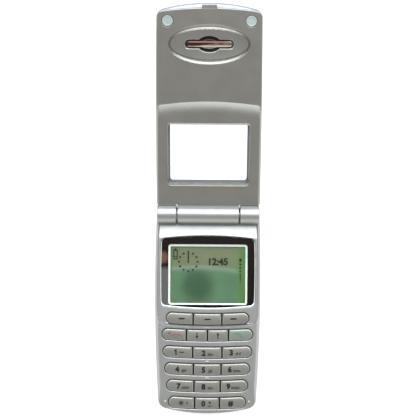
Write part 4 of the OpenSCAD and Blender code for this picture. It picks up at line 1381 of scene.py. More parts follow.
# ---------------------------------------------------------------- keys and their marks


class Mark(Enum):
    """What is printed on a key."""

    DASH = "dash"
    END = "end"
    SEND = "send"
    DOWN = "down"
    UP = "up"
    DIGIT = "digit"


@dataclass(frozen=True)
class KeyMark:
    """Node of a key, what is printed on it, and its small letters."""

    node: str
    mark: Mark
    text: str = ""
    letters: str = ""


SIGNS = tuple(KeyMark("key_" + name, mark) for name, mark in (
    ("soft_left", Mark.DASH), ("soft_middle", Mark.DASH), ("soft_right", Mark.DASH),
    ("end", Mark.END), ("down", Mark.DOWN), ("up", Mark.UP), ("send", Mark.SEND)))
FIGURES = tuple(KeyMark("key_" + name, Mark.DIGIT, text, letters) for name, text, letters in (
    ("1", "1", ""), ("2", "2", "abc"), ("3", "3", "def"), ("4", "4", "ghi"), ("5", "5", "jkl"),
    ("6", "6", "mno"), ("7", "7", "pqrs"), ("8", "8", "tuv"), ("9", "9", "wxyz"),
    ("star", "*", ""), ("0", "0", "+"), ("hash", "#", "")))
KEY_MARKS = (SIGNS[:3], SIGNS[3:], FIGURES[:3], FIGURES[3:6], FIGURES[6:9], FIGURES[9:])


@dataclass
class Keypad:
    """Nineteen pillow-topped keys, each with its mark."""

    form: BaseForm
    proud: float = 0.6
    split: float = 0.5
    pillow_r: float = 15.0
    fillet: float = 0.55
    fall: float = 0.42
    stem: float = 10.9
    ink_t: float = 0.015
    ink_sunk: float = 0.02

    def top(self, row: Row) -> Height:
        """Height of a row's key tops.

        Args:
            row: The row.

        Returns:
            Height over the floor at a place.
        """

        def height(x: Array, u: Array) -> Array:
            across = u - row.centre(x)
            bend = row.half_w - row.key_l / 2
            past = np.maximum(np.abs(x) - bend, 0.0)
            return row.face + self.proud - (across**2 + 0.7 * past**2) / (2 * self.pillow_r)

        return height

    def key(self, row: Row, place: int) -> Skin:
        """One key of a row.

        Args:
            row: The key's row.
            place: Its place in the row, from the left.

        Returns:
            A closed skin.
        """
        last = len(row.edges) - 2
        x0 = row.edges[place] + (self.split / 2 if place else 0.0)
        x1 = row.edges[place + 1] - (self.split / 2 if place < last else 0.0)
        loops = lambda d: row.loop(x0, x1, -d)
        xs = np.arange(x0 + 0.8, x1 - 0.5, 0.8)
        spots = np.concatenate([np.stack([xs, row.centre(xs) + v], 1)
                                for v in (-1.2, -0.6, 0.0, 0.6, 1.2)])
        return cap_over(loops, self.top(row), self.stem, self.fillet, spots, 6, self.fall)

    def build(self) -> None:
        """Build, dress and mark every key."""
        place = self.form.place()
        for row, marks in zip(self.form.rows(), KEY_MARKS):
            for i, mark in enumerate(marks):
                cap = SEND_CAP if mark.mark is Mark.SEND else KEYCAP
                piece = cap.dress(self.key(row, i).build(mark.node + "_cap", place, 50.0))
                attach(piece, mark.node)
                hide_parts(mark.node)
                centre = self.mark_centre(row, i)
                self.print_mark(row, mark, centre)
            report(piece)

    def mark_centre(self, row: Row, place: int) -> float:
        """Middle of a key's printable width.

        Args:
            row: The key's row.
            place: Its place in the row, from the left.

        Returns:
            Place across, in millimetres.
        """
        x0, x1 = row.edges[place], row.edges[place + 1]
        lean = 0.8 * (place == 0) - 0.8 * (place == len(row.edges) - 2)
        return (x0 + x1) / 2 + lean

    def print_mark(self, row: Row, mark: KeyMark, x: float) -> None:
        """Print a key's marks as thin ink that follows its top.

        Args:
            row: The key's row.
            mark: What is printed.
            x: Middle of the print.
        """
        shapes = {
            Mark.DASH: lambda: [(INK, bar_shape(2.7, 0.62))],
            Mark.DOWN: lambda: [(INK, arrow_shape(-1))],
            Mark.UP: lambda: [(INK, arrow_shape(1))],
            Mark.END: lambda: [(RED_INK, handset_shape(False)),
                               (INK, open_ring(0.55, 0.24, -2.7, 0.75))],
            Mark.SEND: lambda: [(GREEN_INK, handset_shape(True))],
            Mark.DIGIT: lambda: digit_shapes(mark),
        }[mark.mark]()
        height, at = self.top(row), row.centre(np.array([x]))[0]
        for i, (ink, shape) in enumerate(shapes):
            points, faces = sliced(shape, 0.2)
            print_at = np.stack([points[:, 0] + x, at - points[:, 1]], 1)
            h = height(print_at[:, 0], print_at[:, 1])
            skin = Skin()
            skin.inlay(print_at, faces, h - self.ink_sunk, h + self.ink_t)
            piece = ink.dress(skin.build(f"{mark.node}_mark_{i}", self.form.place(), 40.0))
            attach(piece, mark.node)


Shape = tuple[Array, list[tuple[int, ...]]]


def boundary(faces: Sequence[tuple[int, ...]]) -> list[tuple[int, int]]:
    """Edges that only one face uses, in that face's direction.

    Args:
        faces: Faces that all turn the same way.

    Returns:
        Ends of each edge.
    """
    seen = {}
    for face in faces:
        for a, b in zip(face, face[1:] + face[:1]):
            seen[(a, b)] = (b, a)
    return [edge for edge, back in seen.items() if back not in seen]


def filled(*loops: Array) -> Shape:
    """Flat shape from separate loops, each filled.

    Args:
        loops: Closed loops that lie apart.

    Returns:
        Points and faces.
    """
    points, faces = [], []
    for loop in loops:
        start = sum(len(p) for p in points)
        skin = Skin()
        ring = skin.ring(loop, 0.0)
        skin.sheet(ring)
        points.append(np.array([p[:2] for p in skin.points]))
        faces += [tuple(i + start for i in face) for face in skin.faces]
    return np.concatenate(points), faces


def sliced(shape: Shape, step: float) -> Shape:
    """Cut a flat shape across in even slices, so that it can follow a curved top.

    Args:
        shape: The shape.
        step: Height of a slice. Slices across are four times as wide.

    Returns:
        The cut shape.
    """
    points, faces = shape
    bm = bmesh.new()
    verts = [bm.verts.new((float(x), float(y), 0.0)) for x, y in points]
    for face in faces:
        if len(set(face)) > 2:
            bm.faces.new([verts[i] for i in face])
    for axis, gap in ((1, step), (0, 4 * step)):
        low, high = float(points[:, axis].min()), float(points[:, axis].max())
        for at in np.arange(low + gap / 2, high, gap):
            normal = Vector((float(axis == 0), float(axis == 1), 0.0))
            every = bm.verts[:] + bm.edges[:] + bm.faces[:]
            bmesh.ops.bisect_plane(bm, geom=every, dist=1e-5, plane_co=normal * float(at),
                                   plane_no=normal)
    bm.verts.index_update()
    made = np.array([v.co[:2] for v in bm.verts])
    cut = [tuple(v.index for v in f.verts) for f in bm.faces]
    bm.free()
    return made, cut


def bar_shape(w: float, l: float, r: float = 0.12, n: int = 3, x: float = 0.0,
              y: float = 0.0) -> Shape:
    """Short bar with round corners, centred on x and y."""
    return filled(rounded_rect(w, l, r, 0.0, n) + [x, y])


def arrow_shape(way: int) -> Shape:
    """Slim arrow with a filled head, pointing up or down.

    Args:
        way: 1 for up or -1 for down.

    Returns:
        Points and faces.
    """
    head = np.array([[-0.62, 0.2], [0.62, 0.2], [0.0, 1.45]])
    shaft = np.array([[-0.2, -1.45], [0.2, -1.45], [0.2, 0.21], [-0.2, 0.21]])
    return filled(head * [1, way], shaft * [1, way])


def handset_shape(lifted: bool) -> Shape:
    """Telephone handset: an arched grip with an ear and a mouth piece.

    Args:
        lifted: Whether it is tilted off its rest.

    Returns:
        Points and faces.
    """
    a = np.radians(np.linspace(25, 155, 15))
    outer = np.stack([1.7 * np.cos(a), 1.05 * np.sin(a)], 1)
    inner = np.stack([1.35 * np.cos(a), 0.62 * np.sin(a)], 1)[::-1]
    arch = np.concatenate([outer, inner]) - [0, 0.55]
    ends = [rounded_rect(0.75, 0.62, 0.15, 0.0, 3) + [s * 1.5, -0.25] for s in (-1, 1)]
    loops = [arch, *ends]
    if lifted:
        loops = [spun(loop, math.radians(-28)) + [0, 0.15] for loop in loops]
    else:
        loops.append(rounded_rect(0.7, 0.45, 0.12, 0.0, 3) + [0, -1.05])
    return filled(*loops)


def text_shape(text: str, size: float, x: float, y: float, bold: float = 0.0) -> Shape:
    """Letters or figures as a flat shape, centred on x and standing on y.

    Args:
        text: The figures.
        size: Height of the type.
        x: Middle of the text.
        y: Height of its foot.
        bold: How far its strokes are drawn out.

    Returns:
        Points and faces.
    """
    curve = bpy.data.curves.new("figures", "FONT")
    curve.body, curve.size, curve.align_x = text, size, "CENTER"
    curve.offset, curve.resolution_u = bold, 3
    holder = bpy.data.objects.new("figures", curve)
    bpy.context.scene.collection.objects.link(holder)
    mesh = holder.to_mesh()
    bm = bmesh.new()
    bm.from_mesh(mesh)
    bmesh.ops.remove_doubles(bm, verts=bm.verts, dist=1e-5)
    bm.verts.index_update()
    points = np.array([v.co[:2] for v in bm.verts]).reshape(-1, 2) + [x, y]
    faces = [tuple(v.index for v in f.verts) for f in bm.faces]
    bm.free()
    holder.to_mesh_clear()
    bpy.data.objects.remove(holder)
    bpy.data.curves.remove(curve)
    return points, faces


def star_shape(r: float, x: float) -> Shape:
    """Star of three crossed bars, centred on x."""
    bar = rounded_rect(0.36, 2 * r, 0.1, 0.0, 2)
    return filled(*(spun(bar, turn) + [x, 0.0] for turn in (0.0, math.pi / 3, 2 * math.pi / 3)))


def one_shape(x: float) -> Shape:
    """Figure one with a flag, centred on x.

    Args:
        x: Its middle.

    Returns:
        Points and faces.
    """
    loop = np.array([[-0.28, -1.2], [0.28, -1.2], [0.28, 1.25], [-0.15, 1.25], [-0.85, 0.75],
                     [-0.85, 0.25], [-0.28, 0.55]])
    return filled(loop + [x, 0.0])


def open_ring(r: float, width: float, x: float, y: float) -> Shape:
    """Ring with a gap at its right.

    Args:
        r: Outer radius.
        width: Width of the ring.
        x: Its middle.
        y: Height of its middle.

    Returns:
        Points and faces.
    """
    a = np.radians(np.linspace(45, 315, 22))
    outer = np.stack([r * np.cos(a), r * np.sin(a)], 1)
    return filled(np.concatenate([outer, outer[::-1] * (1 - width / r)]) + [x, y])


def digit_shapes(mark: KeyMark) -> list[tuple[Finish, Shape]]:
    """Figure and small letters of a number key.

    Args:
        mark: The figure and its letters.

    Returns:
        Each ink with its shape.
    """
    if mark.text == "*":
        arrow = filled(np.array([[1.3, -0.9], [2.1, -0.1], [1.3, 0.7]]))
        return [(INK, star_shape(1.25, -1.0)), (FAINT_INK, arrow)]
    lean = 0.0 if mark.text == "#" else -1.6
    if mark.text == "1":
        return [(INK, one_shape(lean)), (INK, bar_shape(2.2, 0.4, 0.1, x=0.9))]
    shapes = [(INK, text_shape(mark.text, 3.2, lean, -1.15, 0.17))]
    if mark.letters == "+":
        shapes.append((INK, text_shape("+", 2.4, 1.2, -0.5, 0.08)))
        shapes.append((INK, bar_shape(1.5, 0.32, 0.08, 2, 1.2, -1.15)))
    elif mark.letters:
        shapes.append((FAINT_INK, text_shape(mark.letters, 1.75, 1.35, -1.1, 0.09)))
    return shapes


# ---------------------------------------------------------------- display


@dataclass
class Display:
    """Lens, printed border, frame and panel, with what the panel shows."""

    form: BaseForm
    lens_dome: float = 0.05
    print_lean: float = 0.3

    def loops(self, node: str, corner: float) -> Loops:
        """Outline of a rectangular node of the display, drawn in by a distance."""
        box = self.form.box(node)
        return lambda d: rounded_rect(box.w - 2 * d, box.l - 2 * d, max(corner - d, 0.2), box.at)

    def lens_loops(self, node: str) -> Loops:
        """Outline of the lens or its border, drawn in by a distance."""
        box = self.form.box(node)
        return lambda d: lens_loop(box.w - 2 * d, box.l - 2 * d, LENS_BOW, LENS_R - d, box.at)

    def lens(self) -> Piece:
        """Clear lens, very slightly domed, with a rounded edge.

        Returns:
            The new object.
        """
        box = self.form.box("display_lens")
        half_w, half_l = box.w / 2, box.l / 2

        def top(x: Array, u: Array) -> Array:
            return box.high - self.lens_dome * ((x / half_w) ** 2 + ((u - box.at) / half_l) ** 2)

        spots = grid(-half_w, half_w, box.at - half_l, box.at + half_l, 2.0, 2.0)
        skin = cap_over(self.lens_loops("display_lens"), top, box.low, 0.24, spots)
        return skin.build("display_lens_glass", self.form.place())

    def ring_plate(self, name: str, outer: Array, inner: Array, low: float,
                   high: float) -> Piece:
        """Flat ring between two outlines.

        Args:
            name: Name of the piece.
            outer: Outer outline.
            inner: Inner outline.
            low: Height of the underside.
            high: Height of the top.

        Returns:
            The new object.
        """
        skin = Skin()
        rim, hole = ([skin.ring(loop, h) for h in (low, high)] for loop in (outer, inner))
        skin.bands(*rim)
        skin.bands(*hole)
        skin.sheet(rim[0], [hole[0]])
        skin.sheet(rim[1], [hole[1]])
        return skin.build(name, self.form.place())

    def printed(self, drawn_in: float) -> Array:
        """Outline of the print, drawn in less toward the hinge."""
        return self.lens_loops("display_mask")(drawn_in) - [0.0, self.print_lean * drawn_in]

    def border(self) -> Piece:
        """Dark printed border behind the lens, open over the panel.

        Returns:
            The new object.
        """
        box, opening = self.form.box("display_mask"), self.loops("lcd_frame", 1.6)(0.45)
        return self.ring_plate("display_border", self.printed(0.3), opening, box.low + 0.02,
                               box.high)

    def highlit_seat_rim(self) -> Piece:
        """Pale seat that shows through the lens round the print. Its near-white tone, in a band
        thinner toward the hinge, is partly a painted highlight of the light caught on the recess
        lip.

        Returns:
            The new object.
        """
        box, outer = self.form.box("display_mask"), self.lens_loops("display_mask")(0.02)
        return self.ring_plate("display_seat_highlight", outer, self.printed(0.75), box.low,
                               box.high - 0.06)

    def frame(self) -> Piece:
        """White frame round the panel, with a rounded rim.

        Returns:
            The new object.
        """
        box, skin = self.form.box("lcd_frame"), Skin()
        loops, high = self.loops("lcd_frame", 1.9), box.high
        # How far each ring is drawn in, and its height.
        profile = [(0.0, box.low), (0.0, high - 0.15), (0.05, high - 0.04), (0.2, high),
                   (1.05, high), (1.18, high - 0.06), (1.25, high - 0.2), (1.25, box.low)]
        rings = [skin.ring(loops(d) + [0, 0.22 * (d > 1)], z) for d, z in profile]
        skin.bands(*rings, rings[0])
        return skin.build("display_frame", self.form.place())

    def panel(self) -> Piece:
        """Green panel with a slightly rounded edge.

        Returns:
            The new object.
        """
        box = self.form.box("lcd_panel")
        top = lambda x, u: np.full_like(x, box.high)
        skin = cap_over(self.loops("lcd_panel", 0.4), top, box.low, 0.06)
        return skin.build("display_panel", self.form.place())

    def icon_shapes(self) -> list[Shape]:
        """Battery, dotted clock, time and signal, down and across from the panel's corner.

        Returns:
            Flat shapes, in millimetres.
        """
        # Width, length, corner, and place of each bar of the battery sign.
        cell = [(1.9, 0.45, 0.1, 0, -1.9), (1.9, 0.45, 0.1, 0, 1.9), (0.45, 4.2, 0.1, -0.75, 0),
                (0.45, 4.2, 0.1, 0.75, 0), (0.9, 0.6, 0.1, 0, 2.35), (1.2, 0.4, 0.05, 0, -0.75)]
        shapes = []
        for w, l, r, x, y in cell:
            points, faces = bar_shape(w, l, r, 2, x, y)
            shapes.append((points + [2.1, -3.7], faces))
        for a in np.arange(1, 12) * math.pi / 6:
            dot = rounded_rect(0.85, 0.85, 0.15, 0.0, 2) + [4.1 * math.sin(a), 4.1 * math.cos(a)]
            shapes.append(filled(dot + [7.7, -6.8]))
        shapes.append(bar_shape(0.62, 5.4, 0.05, 2, 7.7, -4.6))
        shapes.append(text_shape("12:45", 4.1, 20.6, -8.1, 0.17))
        for i in range(5):
            w, l, y = 1.15 - 0.08 * i, 0.75 if i else 1.5, -6.0 - i * 1.5 - (0.3 if i else 0.0)
            shapes.append(bar_shape(w, l, 0.05, 2, 30.5, y))
        shapes.append(filled(np.array([[-0.65, 0.0], [0.65, 0.0], [0.0, -1.0]]) + [30.5, -13.3]))
        shapes.append(bar_shape(0.3, 2.4, 0.05, 2, 30.5, -14.6))
        return shapes

    def icons(self) -> Piece:
        """What the panel shows, as thin dark plates.

        Returns:
            The new object.
        """
        low, high = (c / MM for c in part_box("lcd_panel"))
        corner = np.array([low.x + 1.0, self.form.hinge.y / MM - high.y + 1.0])
        skin = Skin()
        for points, faces in self.icon_shapes():
            skin.inlay(corner + points * [1, -1], faces, high.z - 0.004, high.z + 0.02)
        return skin.build("display_figures", self.form.place())

    def build(self) -> None:
        """Build and dress the display."""
        made = [
            (self.lens(), LENS, "display_lens"),
            (self.border(), MIRROR, "display_mask"),
            (self.highlit_seat_rim(), HIGHLIT_SEAT, None),
            (self.frame(), WHITE, "lcd_frame"),
            (self.panel(), SCREEN, "lcd_panel"),
            (self.icons(), SEGMENT, None),
        ]
        for piece, finish, node in made:
            finish.dress(piece)
            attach(piece, Body.BASE.value)
            if node:
                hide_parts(node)
            report(piece)


# ---------------------------------------------------------------- lid


@dataclass
class LidForm:
    """Sizes of the lid that its covers and trim share, in the lid's own frame."""

    hinge: Vector
    tilt: float = math.radians(18.0)
    width: float = 44.8
    reach: float = 89.5
    lip: float = 1.6
    start: float = 4.3
    panel: float = -0.7
    plateau: float = 0.4
    tip_fall: float = 0.3
    outer: float = -6.5
    rim: float = -1.9
    roll_at: float = 44.1
    roll_r: float = 130.0
    roll_l: float = 5.3
    side_l: float = 1.0
    window_w: float = 33.0
    window_l: float = 25.0
    window_at: float = 26.6
    ear_at: float = 73.0
    pad_x: float = 17.05
    pad_at: float = 82.3
    barrel_w: float = 26.6
    hinge_r: float = 4.2
    bow_at: float = 10.0
    bow_r: float = 4200.0
    wall: float = 1.3
    groove_w: float = 16.9
    groove_l: float = 8.3
    groove_deep: float = 0.62
    dish_w: float = 15.9
    dish_l: float = 6.1
    dish_deep: float = 0.42

    def outline(self) -> Outline:
        """Plan of the lid, with close points where its face changes level.

        Returns:
            The outline.
        """
        upper = np.arange(78.0, 51.0, -1.5)
        roll = np.arange(50.2, 42.0, -0.35)
        lower = np.arange(41.0, 6.0, -1.5)
        stops = tuple(np.concatenate([upper, roll, lower, [5.6, 4.9]]))
        return Outline(self.reach, self.width / 2, self.start, 75.0, 4.0, self.bow_at, self.bow_r,
                       stops)

    def panel_outline(self) -> Outline:
        """Plan of the inner cover, whose tip is flatter and squarer than the outer cover's.

        Returns:
            The outline.
        """
        plan = self.outline()
        return Outline(self.reach - self.lip, plan.half_w, plan.back, 150.0, 2.75, plan.bow_at,
                       plan.bow_r, plan.stops)

    def place(self) -> Place:
        """Where the lid's own frame lies when it is open."""
        return Place(self.hinge, self.tilt, 1)

    def rise(self, x: Array, u: Array) -> Array:
        """Share of the plateau's height that is reached, from 0 on the panel to 1.

        Args:
            x: Places across.
            u: Reaches.

        Returns:
            Shares from 0 to 1.
        """
        r = np.hypot(x, u - (self.roll_at - self.roll_r))
        end = np.clip((self.roll_r + self.roll_l - r) / self.roll_l, 0.0, 1.0)
        half = bowed(self.width / 2, self.bow_at, self.bow_r, u)
        side = np.clip((half - 0.2 - np.abs(x)) / self.side_l, 0.0, 1.0)
        share = 1.0 - np.minimum(np.hypot(1.0 - end, 1.0 - side), 1.0)
        return np.sin(share * math.pi / 2)

    def ring_share(self, x: Array, u: Array) -> Array:
        """Share of the way across the oval groove, 0 at its outer edge and 1 at its inner one.

        Args:
            x: Places across.
            u: Reaches.

        Returns:
            Shares from 0 to 1.
        """
        v = u - self.ear_at
        outer = np.maximum(1.0 - np.hypot(x / self.groove_w, v / self.groove_l), 0.0)
        inner = np.maximum(np.hypot(x / self.dish_w, v / self.dish_l) - 1.0, 0.0)
        past = outer / np.maximum(outer + inner, 1e-6)
        return np.where(outer <= 0.0, 0.0, np.where(inner <= 0.0, 1.0, past))

    def face(self, x: Array, u: Array) -> Array:
        """Height of the lid's inner face, with the groove and dish round the earpiece.

        Args:
            x: Places across.
            u: Reaches.

        Returns:
            Heights in the lid's frame.
        """
        level = self.panel + (self.plateau - self.panel) * self.rise(x, u)
        level = level - self.tip_fall * eased((u - 77.0) / 11.0)
        groove = self.groove_deep * np.sin(math.pi * self.ring_share(x, u)) ** 1.3
        e = np.hypot(x / self.dish_w, (u - self.ear_at) / self.dish_l)
        dish = np.where(e < 1.0, self.dish_deep * (1.0 - e * e), 0.0)
        return level - groove - dish

    def under(self, x: Array, u: Array) -> Array:
        """Height of the back of the lid's inner face."""
        return self.face(x, u) - self.wall


@dataclass
class Lid:
    """Covers, window, pads and earpiece of the lid."""

    form: LidForm
    reveal: float = 0.7
    slot_w: float = 10.0
    slot_l: float = 1.7
    slot_point: float = 0.8
    swell_w: float = 4.9
    swell_l: float = 3.2
    lip_wide: float = 0.38
    seat_out: float = 1.35

    def window_loops(self, d: float) -> Array:
        """Window outline drawn out by a distance."""
        f = self.form
        return rounded_rect(f.window_w + 2 * d, f.window_l + 2 * d, 1.2 + d * 0.5, f.window_at)

    def slot_loops(self, d: float) -> Array:
        """Sound slot outline: a long bar with a swollen middle, drawn out by a distance.

        Args:
            d: How far it is drawn out.

        Returns:
            Points as rows of x and u.
        """
        a = np.arange(120) * 2 * math.pi / 120
        c, s = np.cos(a), np.sin(a)
        half_w, half_l = self.slot_w + d, self.slot_l + d
        with np.errstate(divide="ignore"):
            flat = half_l / np.abs(s)
            slant = 1.0 / (np.abs(c) / half_w + np.abs(s) * self.slot_point / (half_w * half_l))
        oval = 1.0 / np.hypot(c / (self.swell_w + d), s / (self.swell_l + d))
        r = np.maximum(np.minimum(flat, slant), oval)
        return np.stack([r * c, self.form.ear_at + r * s], 1)

    def inner(self) -> Piece:
        """Inner cover with its plateau, window opening, earpiece slot, pad seats and tab.

        Returns:
            The new object.
        """
        f, skin = self.form, Skin()
        plan = f.panel_outline()
        # How far each ring of the edge is drawn in, and how far it lies below the face.
        edge = [(0.15, 1.4), (0.15, 0.8), (0.15, 0.5), (0.2, 0.33), (0.3, 0.19), (0.44, 0.09),
                (0.62, 0.03), (0.82, 0.0), (0.92, 0.0)]
        rings = [skin.drape(plan.loop(inset, 0.0, 0.3 * (inset - 0.15)), f.face, drop)
                 for inset, drop in edge]
        skin.bands(*rings)
        foot = skin.ring(plan.loop(1.0, 0.0, 1.2), f.rim)
        ceiling = skin.drape(plan.loop(1.1, 0.0, 1.2), f.under)
        skin.bands(rings[0], foot, ceiling)
        opening = lambda d: self.window_loops(d + self.reveal)
        window = self.hole(skin, opening, self.lip_wide, 0.45, f.outer + f.wall, 0.3)
        slot = self.hole(skin, self.slot_loops, self.lip_wide, 0.34, None)
        pads = [self.hole(skin, lambda d, s=s: ellipse(2.4 + d, 2.4 + d, f.pad_at, 40, s * f.pad_x),
                          0.2, 0.15, f.panel - 0.8) for s in (-1, 1)]
        for pad in pads:
            skin.sheet(pad[1])
        spots = self.face_spots()
        lining = self.window_loops(self.seat_out)
        low, high = skin.ring(lining, f.outer + f.wall), skin.drape(lining, f.under)
        skin.bands(window[1], low, high)
        skin.sheet(rings[-1], [window[0], slot[0], pads[0][0], pads[1][0]], spots, f.face)
        skin.sheet(ceiling, [high, slot[1]], spots, f.under)
        skin.add(self.tab())
        return skin.build("lid_inner_shell", f.place(), 32.0)

    def hole(self, skin: Skin, loops: Loops, wide: float, deep: float,
             foot: Optional[float], bead: float = 0.0) -> tuple:
        """Hole through the inner face with a rounded, sloping lip.

        Args:
            skin: Skin that the walls are added to.
            loops: The hole's outline, drawn out by a distance.
            wide: Width of the lip.
            deep: Depth of the lip.
            foot: Height where the wall ends, or None for the back of the face.
            bead: Height of a raised bead round the lip.

        Returns:
            The ring on the face and the ring at the foot.
        """
        # How far each ring is drawn out, and its share of the depth or of the bead's height.
        edge = [(wide + 0.08, 0.0), (wide, 0.0), (wide * 0.8, 0.06), (wide * 0.55, 0.25),
                (wide * 0.3, 0.55), (wide * 0.1, 0.85), (0.0, 1.3)]
        profile = [(d, deep * k - bead) for d, k in edge]
        if bead:
            rise = [(0.34, 0.0), (0.3, 0.0), (0.23, 0.25), (0.14, 0.75), (0.07, 0.95)]
            profile = [(wide + d, -bead * k) for d, k in rise] + profile[1:]
        f, end = self.form, loops(0.0)
        rings = [skin.drape(loops(d), f.face, drop) for d, drop in profile]
        rings.append(skin.drape(end, f.under) if foot is None else skin.ring(end, foot))
        skin.bands(*rings)
        return rings[0], rings[-1]

    def face_spots(self) -> Array:
        """Points that hold the roll, the groove and the dish.

        Returns:
            Points as rows of x and u.
        """
        f, spots = self.form, []
        x = np.linspace(-21, 21, 70)
        for drawn_in in (0.0, 0.08, 0.5, 1.0, 1.6, 2.2, 2.9, 3.6, 4.4, 5.3):
            r = f.roll_r + f.roll_l - drawn_in
            spots.append(np.stack([x, f.roll_at - f.roll_r + np.sqrt(r * r - x * x)], 1))
        for t in np.linspace(0.0, 1.0, 11):
            w = f.groove_w + (f.dish_w - f.groove_w) * t
            l = f.groove_l + (f.dish_l - f.groove_l) * t
            spots.append(ellipse(w, l, f.ear_at, 150))
        spots.append(ellipse(f.groove_w + 0.1, f.groove_l + 0.1, f.ear_at, 110))
        for e in (0.97, 0.9, 0.8, 0.7, 0.6, 0.5):
            spots.append(ellipse(f.dish_w * e, f.dish_l * e, f.ear_at, 90))
        for s in (-1, 1):
            spots.append(grid(s * 20.9, s * 22.1, 6.0, 52.0, 0.15, 1.2))
            spots.append(grid(s * 20.5, s * 22.0, 42.0, 50.5, 0.15, 0.4) + [0.07, 0.2])
        return np.concatenate(spots)

    def barrel(self) -> Piece:
        """Middle barrel of the hinge and the neck that joins it to the lid.

        Returns:
            The new object.
        """
        f = self.form
        b, r, neck_l = f.barrel_w / 2, f.hinge_r, f.start + 0.9
        half = [(b - 0.25, r), (b - 0.07, r - 0.2), (b, r - 0.5)]
        skin = revolved([(-x, y) for x, y in reversed(half)] + half)
        neck = rounded_rect(f.barrel_w - 0.1, neck_l, 0.1, neck_l / 2, 2)
        skin.add(block_over(neck, -3.0, f.plateau - 0.35))
        return skin.build("hinge_barrel", f.place(), 32.0)

    def tab(self) -> Skin:
        """Small tab of the inner cover on the lip at the tip.

        Returns:
            A closed skin.
        """
        f = self.form
        tip = f.reach - f.lip
        loops = lambda d: rounded_rect(6.2 - 2 * d, 2.1 - 2 * d, 0.3, tip - 0.2, 4)
        top = lambda x, u: f.face(x, u) + 0.006 - 0.16 * np.maximum(u - tip + 0.3, 0.0)
        return cap_over(loops, top, f.rim - 0.3, 0.1)

    def outer(self) -> Piece:
        """Outer cover: a smooth tray whose rounded lip shows past the tip.

        Returns:
            The new object.
        """
        f, skin = self.form, Skin()
        plan = f.outline()
        # Inset and height along the sides, then the inset and, on the lip, the height at the tip.
        wall = [(3.9, f.outer, 4.6), (3.8, f.outer, 4.5), (3.3, -6.42, 3.7), (2.8, -6.24, 3.0),
                (2.3, -5.96, 2.4), (1.75, -5.58, 1.8), (1.2, -5.1, 1.2), (0.7, -4.5, 0.75),
                (0.3, -3.9, 0.4), (0.06, -3.3, 0.12)]
        lip = [(0.0, -2.8, 0.0, -3.1), (0.0, -2.5, 0.05, -2.85), (0.03, -2.3, 0.2, -2.5),
               (0.1, -2.1, 0.55, -2.1), (0.2, -1.97, 1.0, -1.78), (0.32, -1.92, 1.5, -1.56),
               (0.45, -1.9, 2.0, -1.45), (0.6, -1.9, 2.5, -1.45)]
        rings = []
        for side, h, tip, tip_h in [(*row, row[1]) for row in wall] + lip:
            behind = max(0.0, side - 1) * 0.35
            a, b = plan.loop(side, 0.0, behind), plan.loop(tip, 0.0, behind)
            w = eased((a[:, 1] - 76.0) / 9.0)
            rings.append(skin.ring(a + (b - a) * w[:, None], h + (tip_h - h) * w))
        skin.bands(*rings)
        floor, ledge = f.outer + f.wall, f.outer + 0.85
        walls = [skin.ring(plan.loop(d, f.lip - 0.4, 1.3), h)
                 for d, h in ((1.65, -2.2), (1.7, floor + 0.5), (2.2, floor))]
        skin.bands(rings[-1], *walls)
        seat = [skin.ring(self.window_loops(d), h) for d, h in
                ((1.65, f.outer), (1.55, f.outer + 0.04), (1.48, f.outer + 0.15), (1.48, ledge))]
        opening, top = (skin.ring(self.window_loops(0.0), h) for h in (ledge, floor))
        skin.bands(*seat)
        skin.sheet(seat[-1], [opening])
        skin.bands(opening, top)
        skin.sheet(rings[0], [seat[0]])
        skin.sheet(walls[-1], [top])
        return skin.build("lid_outer_shell", f.place(), 32.0)

    def window(self) -> Piece:
        """Clear window lens in the outer cover.

        Returns:
            The new object.
        """
        f = self.form
        low = f.outer + 0.05
        loops = lambda d: self.window_loops(self.seat_out - d)
        top = lambda x, u: np.full_like(x, low + 0.8)
        return cap_over(loops, top, low, 0.08).build("window_glass", f.place())

    def pads(self) -> Piece:
        """Two rubber pads near the tip.

        Returns:
            The new object.
        """
        f, skin = self.form, Skin()
        # Radius, and height over the panel.
        profile = [(2.2, -0.75), (2.2, -0.12), (2.12, 0.0), (1.95, 0.05), (1.75, 0.02),
                   (1.6, -0.1), (1.45, -0.14), (0.7, -0.1), (0.2, -0.08)]
        for s in (-1, 1):
            skin.block(*(skin.ring(ellipse(r, r, f.pad_at, 40, s * f.pad_x), f.panel + h)
                         for r, h in profile))
        return skin.build("lid_pads", f.place(), 60.0)

    def ear_bar(self) -> Piece:
        """Bright bar along the sound slot, on a round step at its middle.

        Returns:
            The new object.
        """
        f = self.form

        def bar(d: float) -> Array:
            w, l, p = self.slot_w - 0.35 - d, self.slot_l - 0.4 - d, self.slot_point
            corners = [(w, 0), (w - p, l), (-w + p, l), (-w, 0), (-w + p, -l), (w - p, -l)]
            loop = []
            for (x0, y0), (x1, y1) in zip(corners, corners[1:] + corners[:1]):
                loop += [(x0 + (x1 - x0) * t, y0 + (y1 - y0) * t) for t in np.arange(8) / 8]
            return np.array(loop) + [0, f.ear_at]

        def arched(x: Array, u: Array) -> Array:
            return f.panel - 0.30 - 0.24 * (u - f.ear_at) ** 2 - 0.0035 * x * x

        spots = grid(-9, 9, f.ear_at - 1, f.ear_at + 1, 0.6, 0.25)
        skin = cap_over(bar, arched, f.panel - 1.2, 0.15, spots)
        step = lambda d: ellipse(4.1 - d, 1.95 - d, f.ear_at, 48)
        skin.add(cap_over(step, lambda x, u: np.full_like(x, f.panel - 0.8), f.panel - 1.3, 0.25))
        return skin.build("earpiece_bar", f.place(), 55.0)

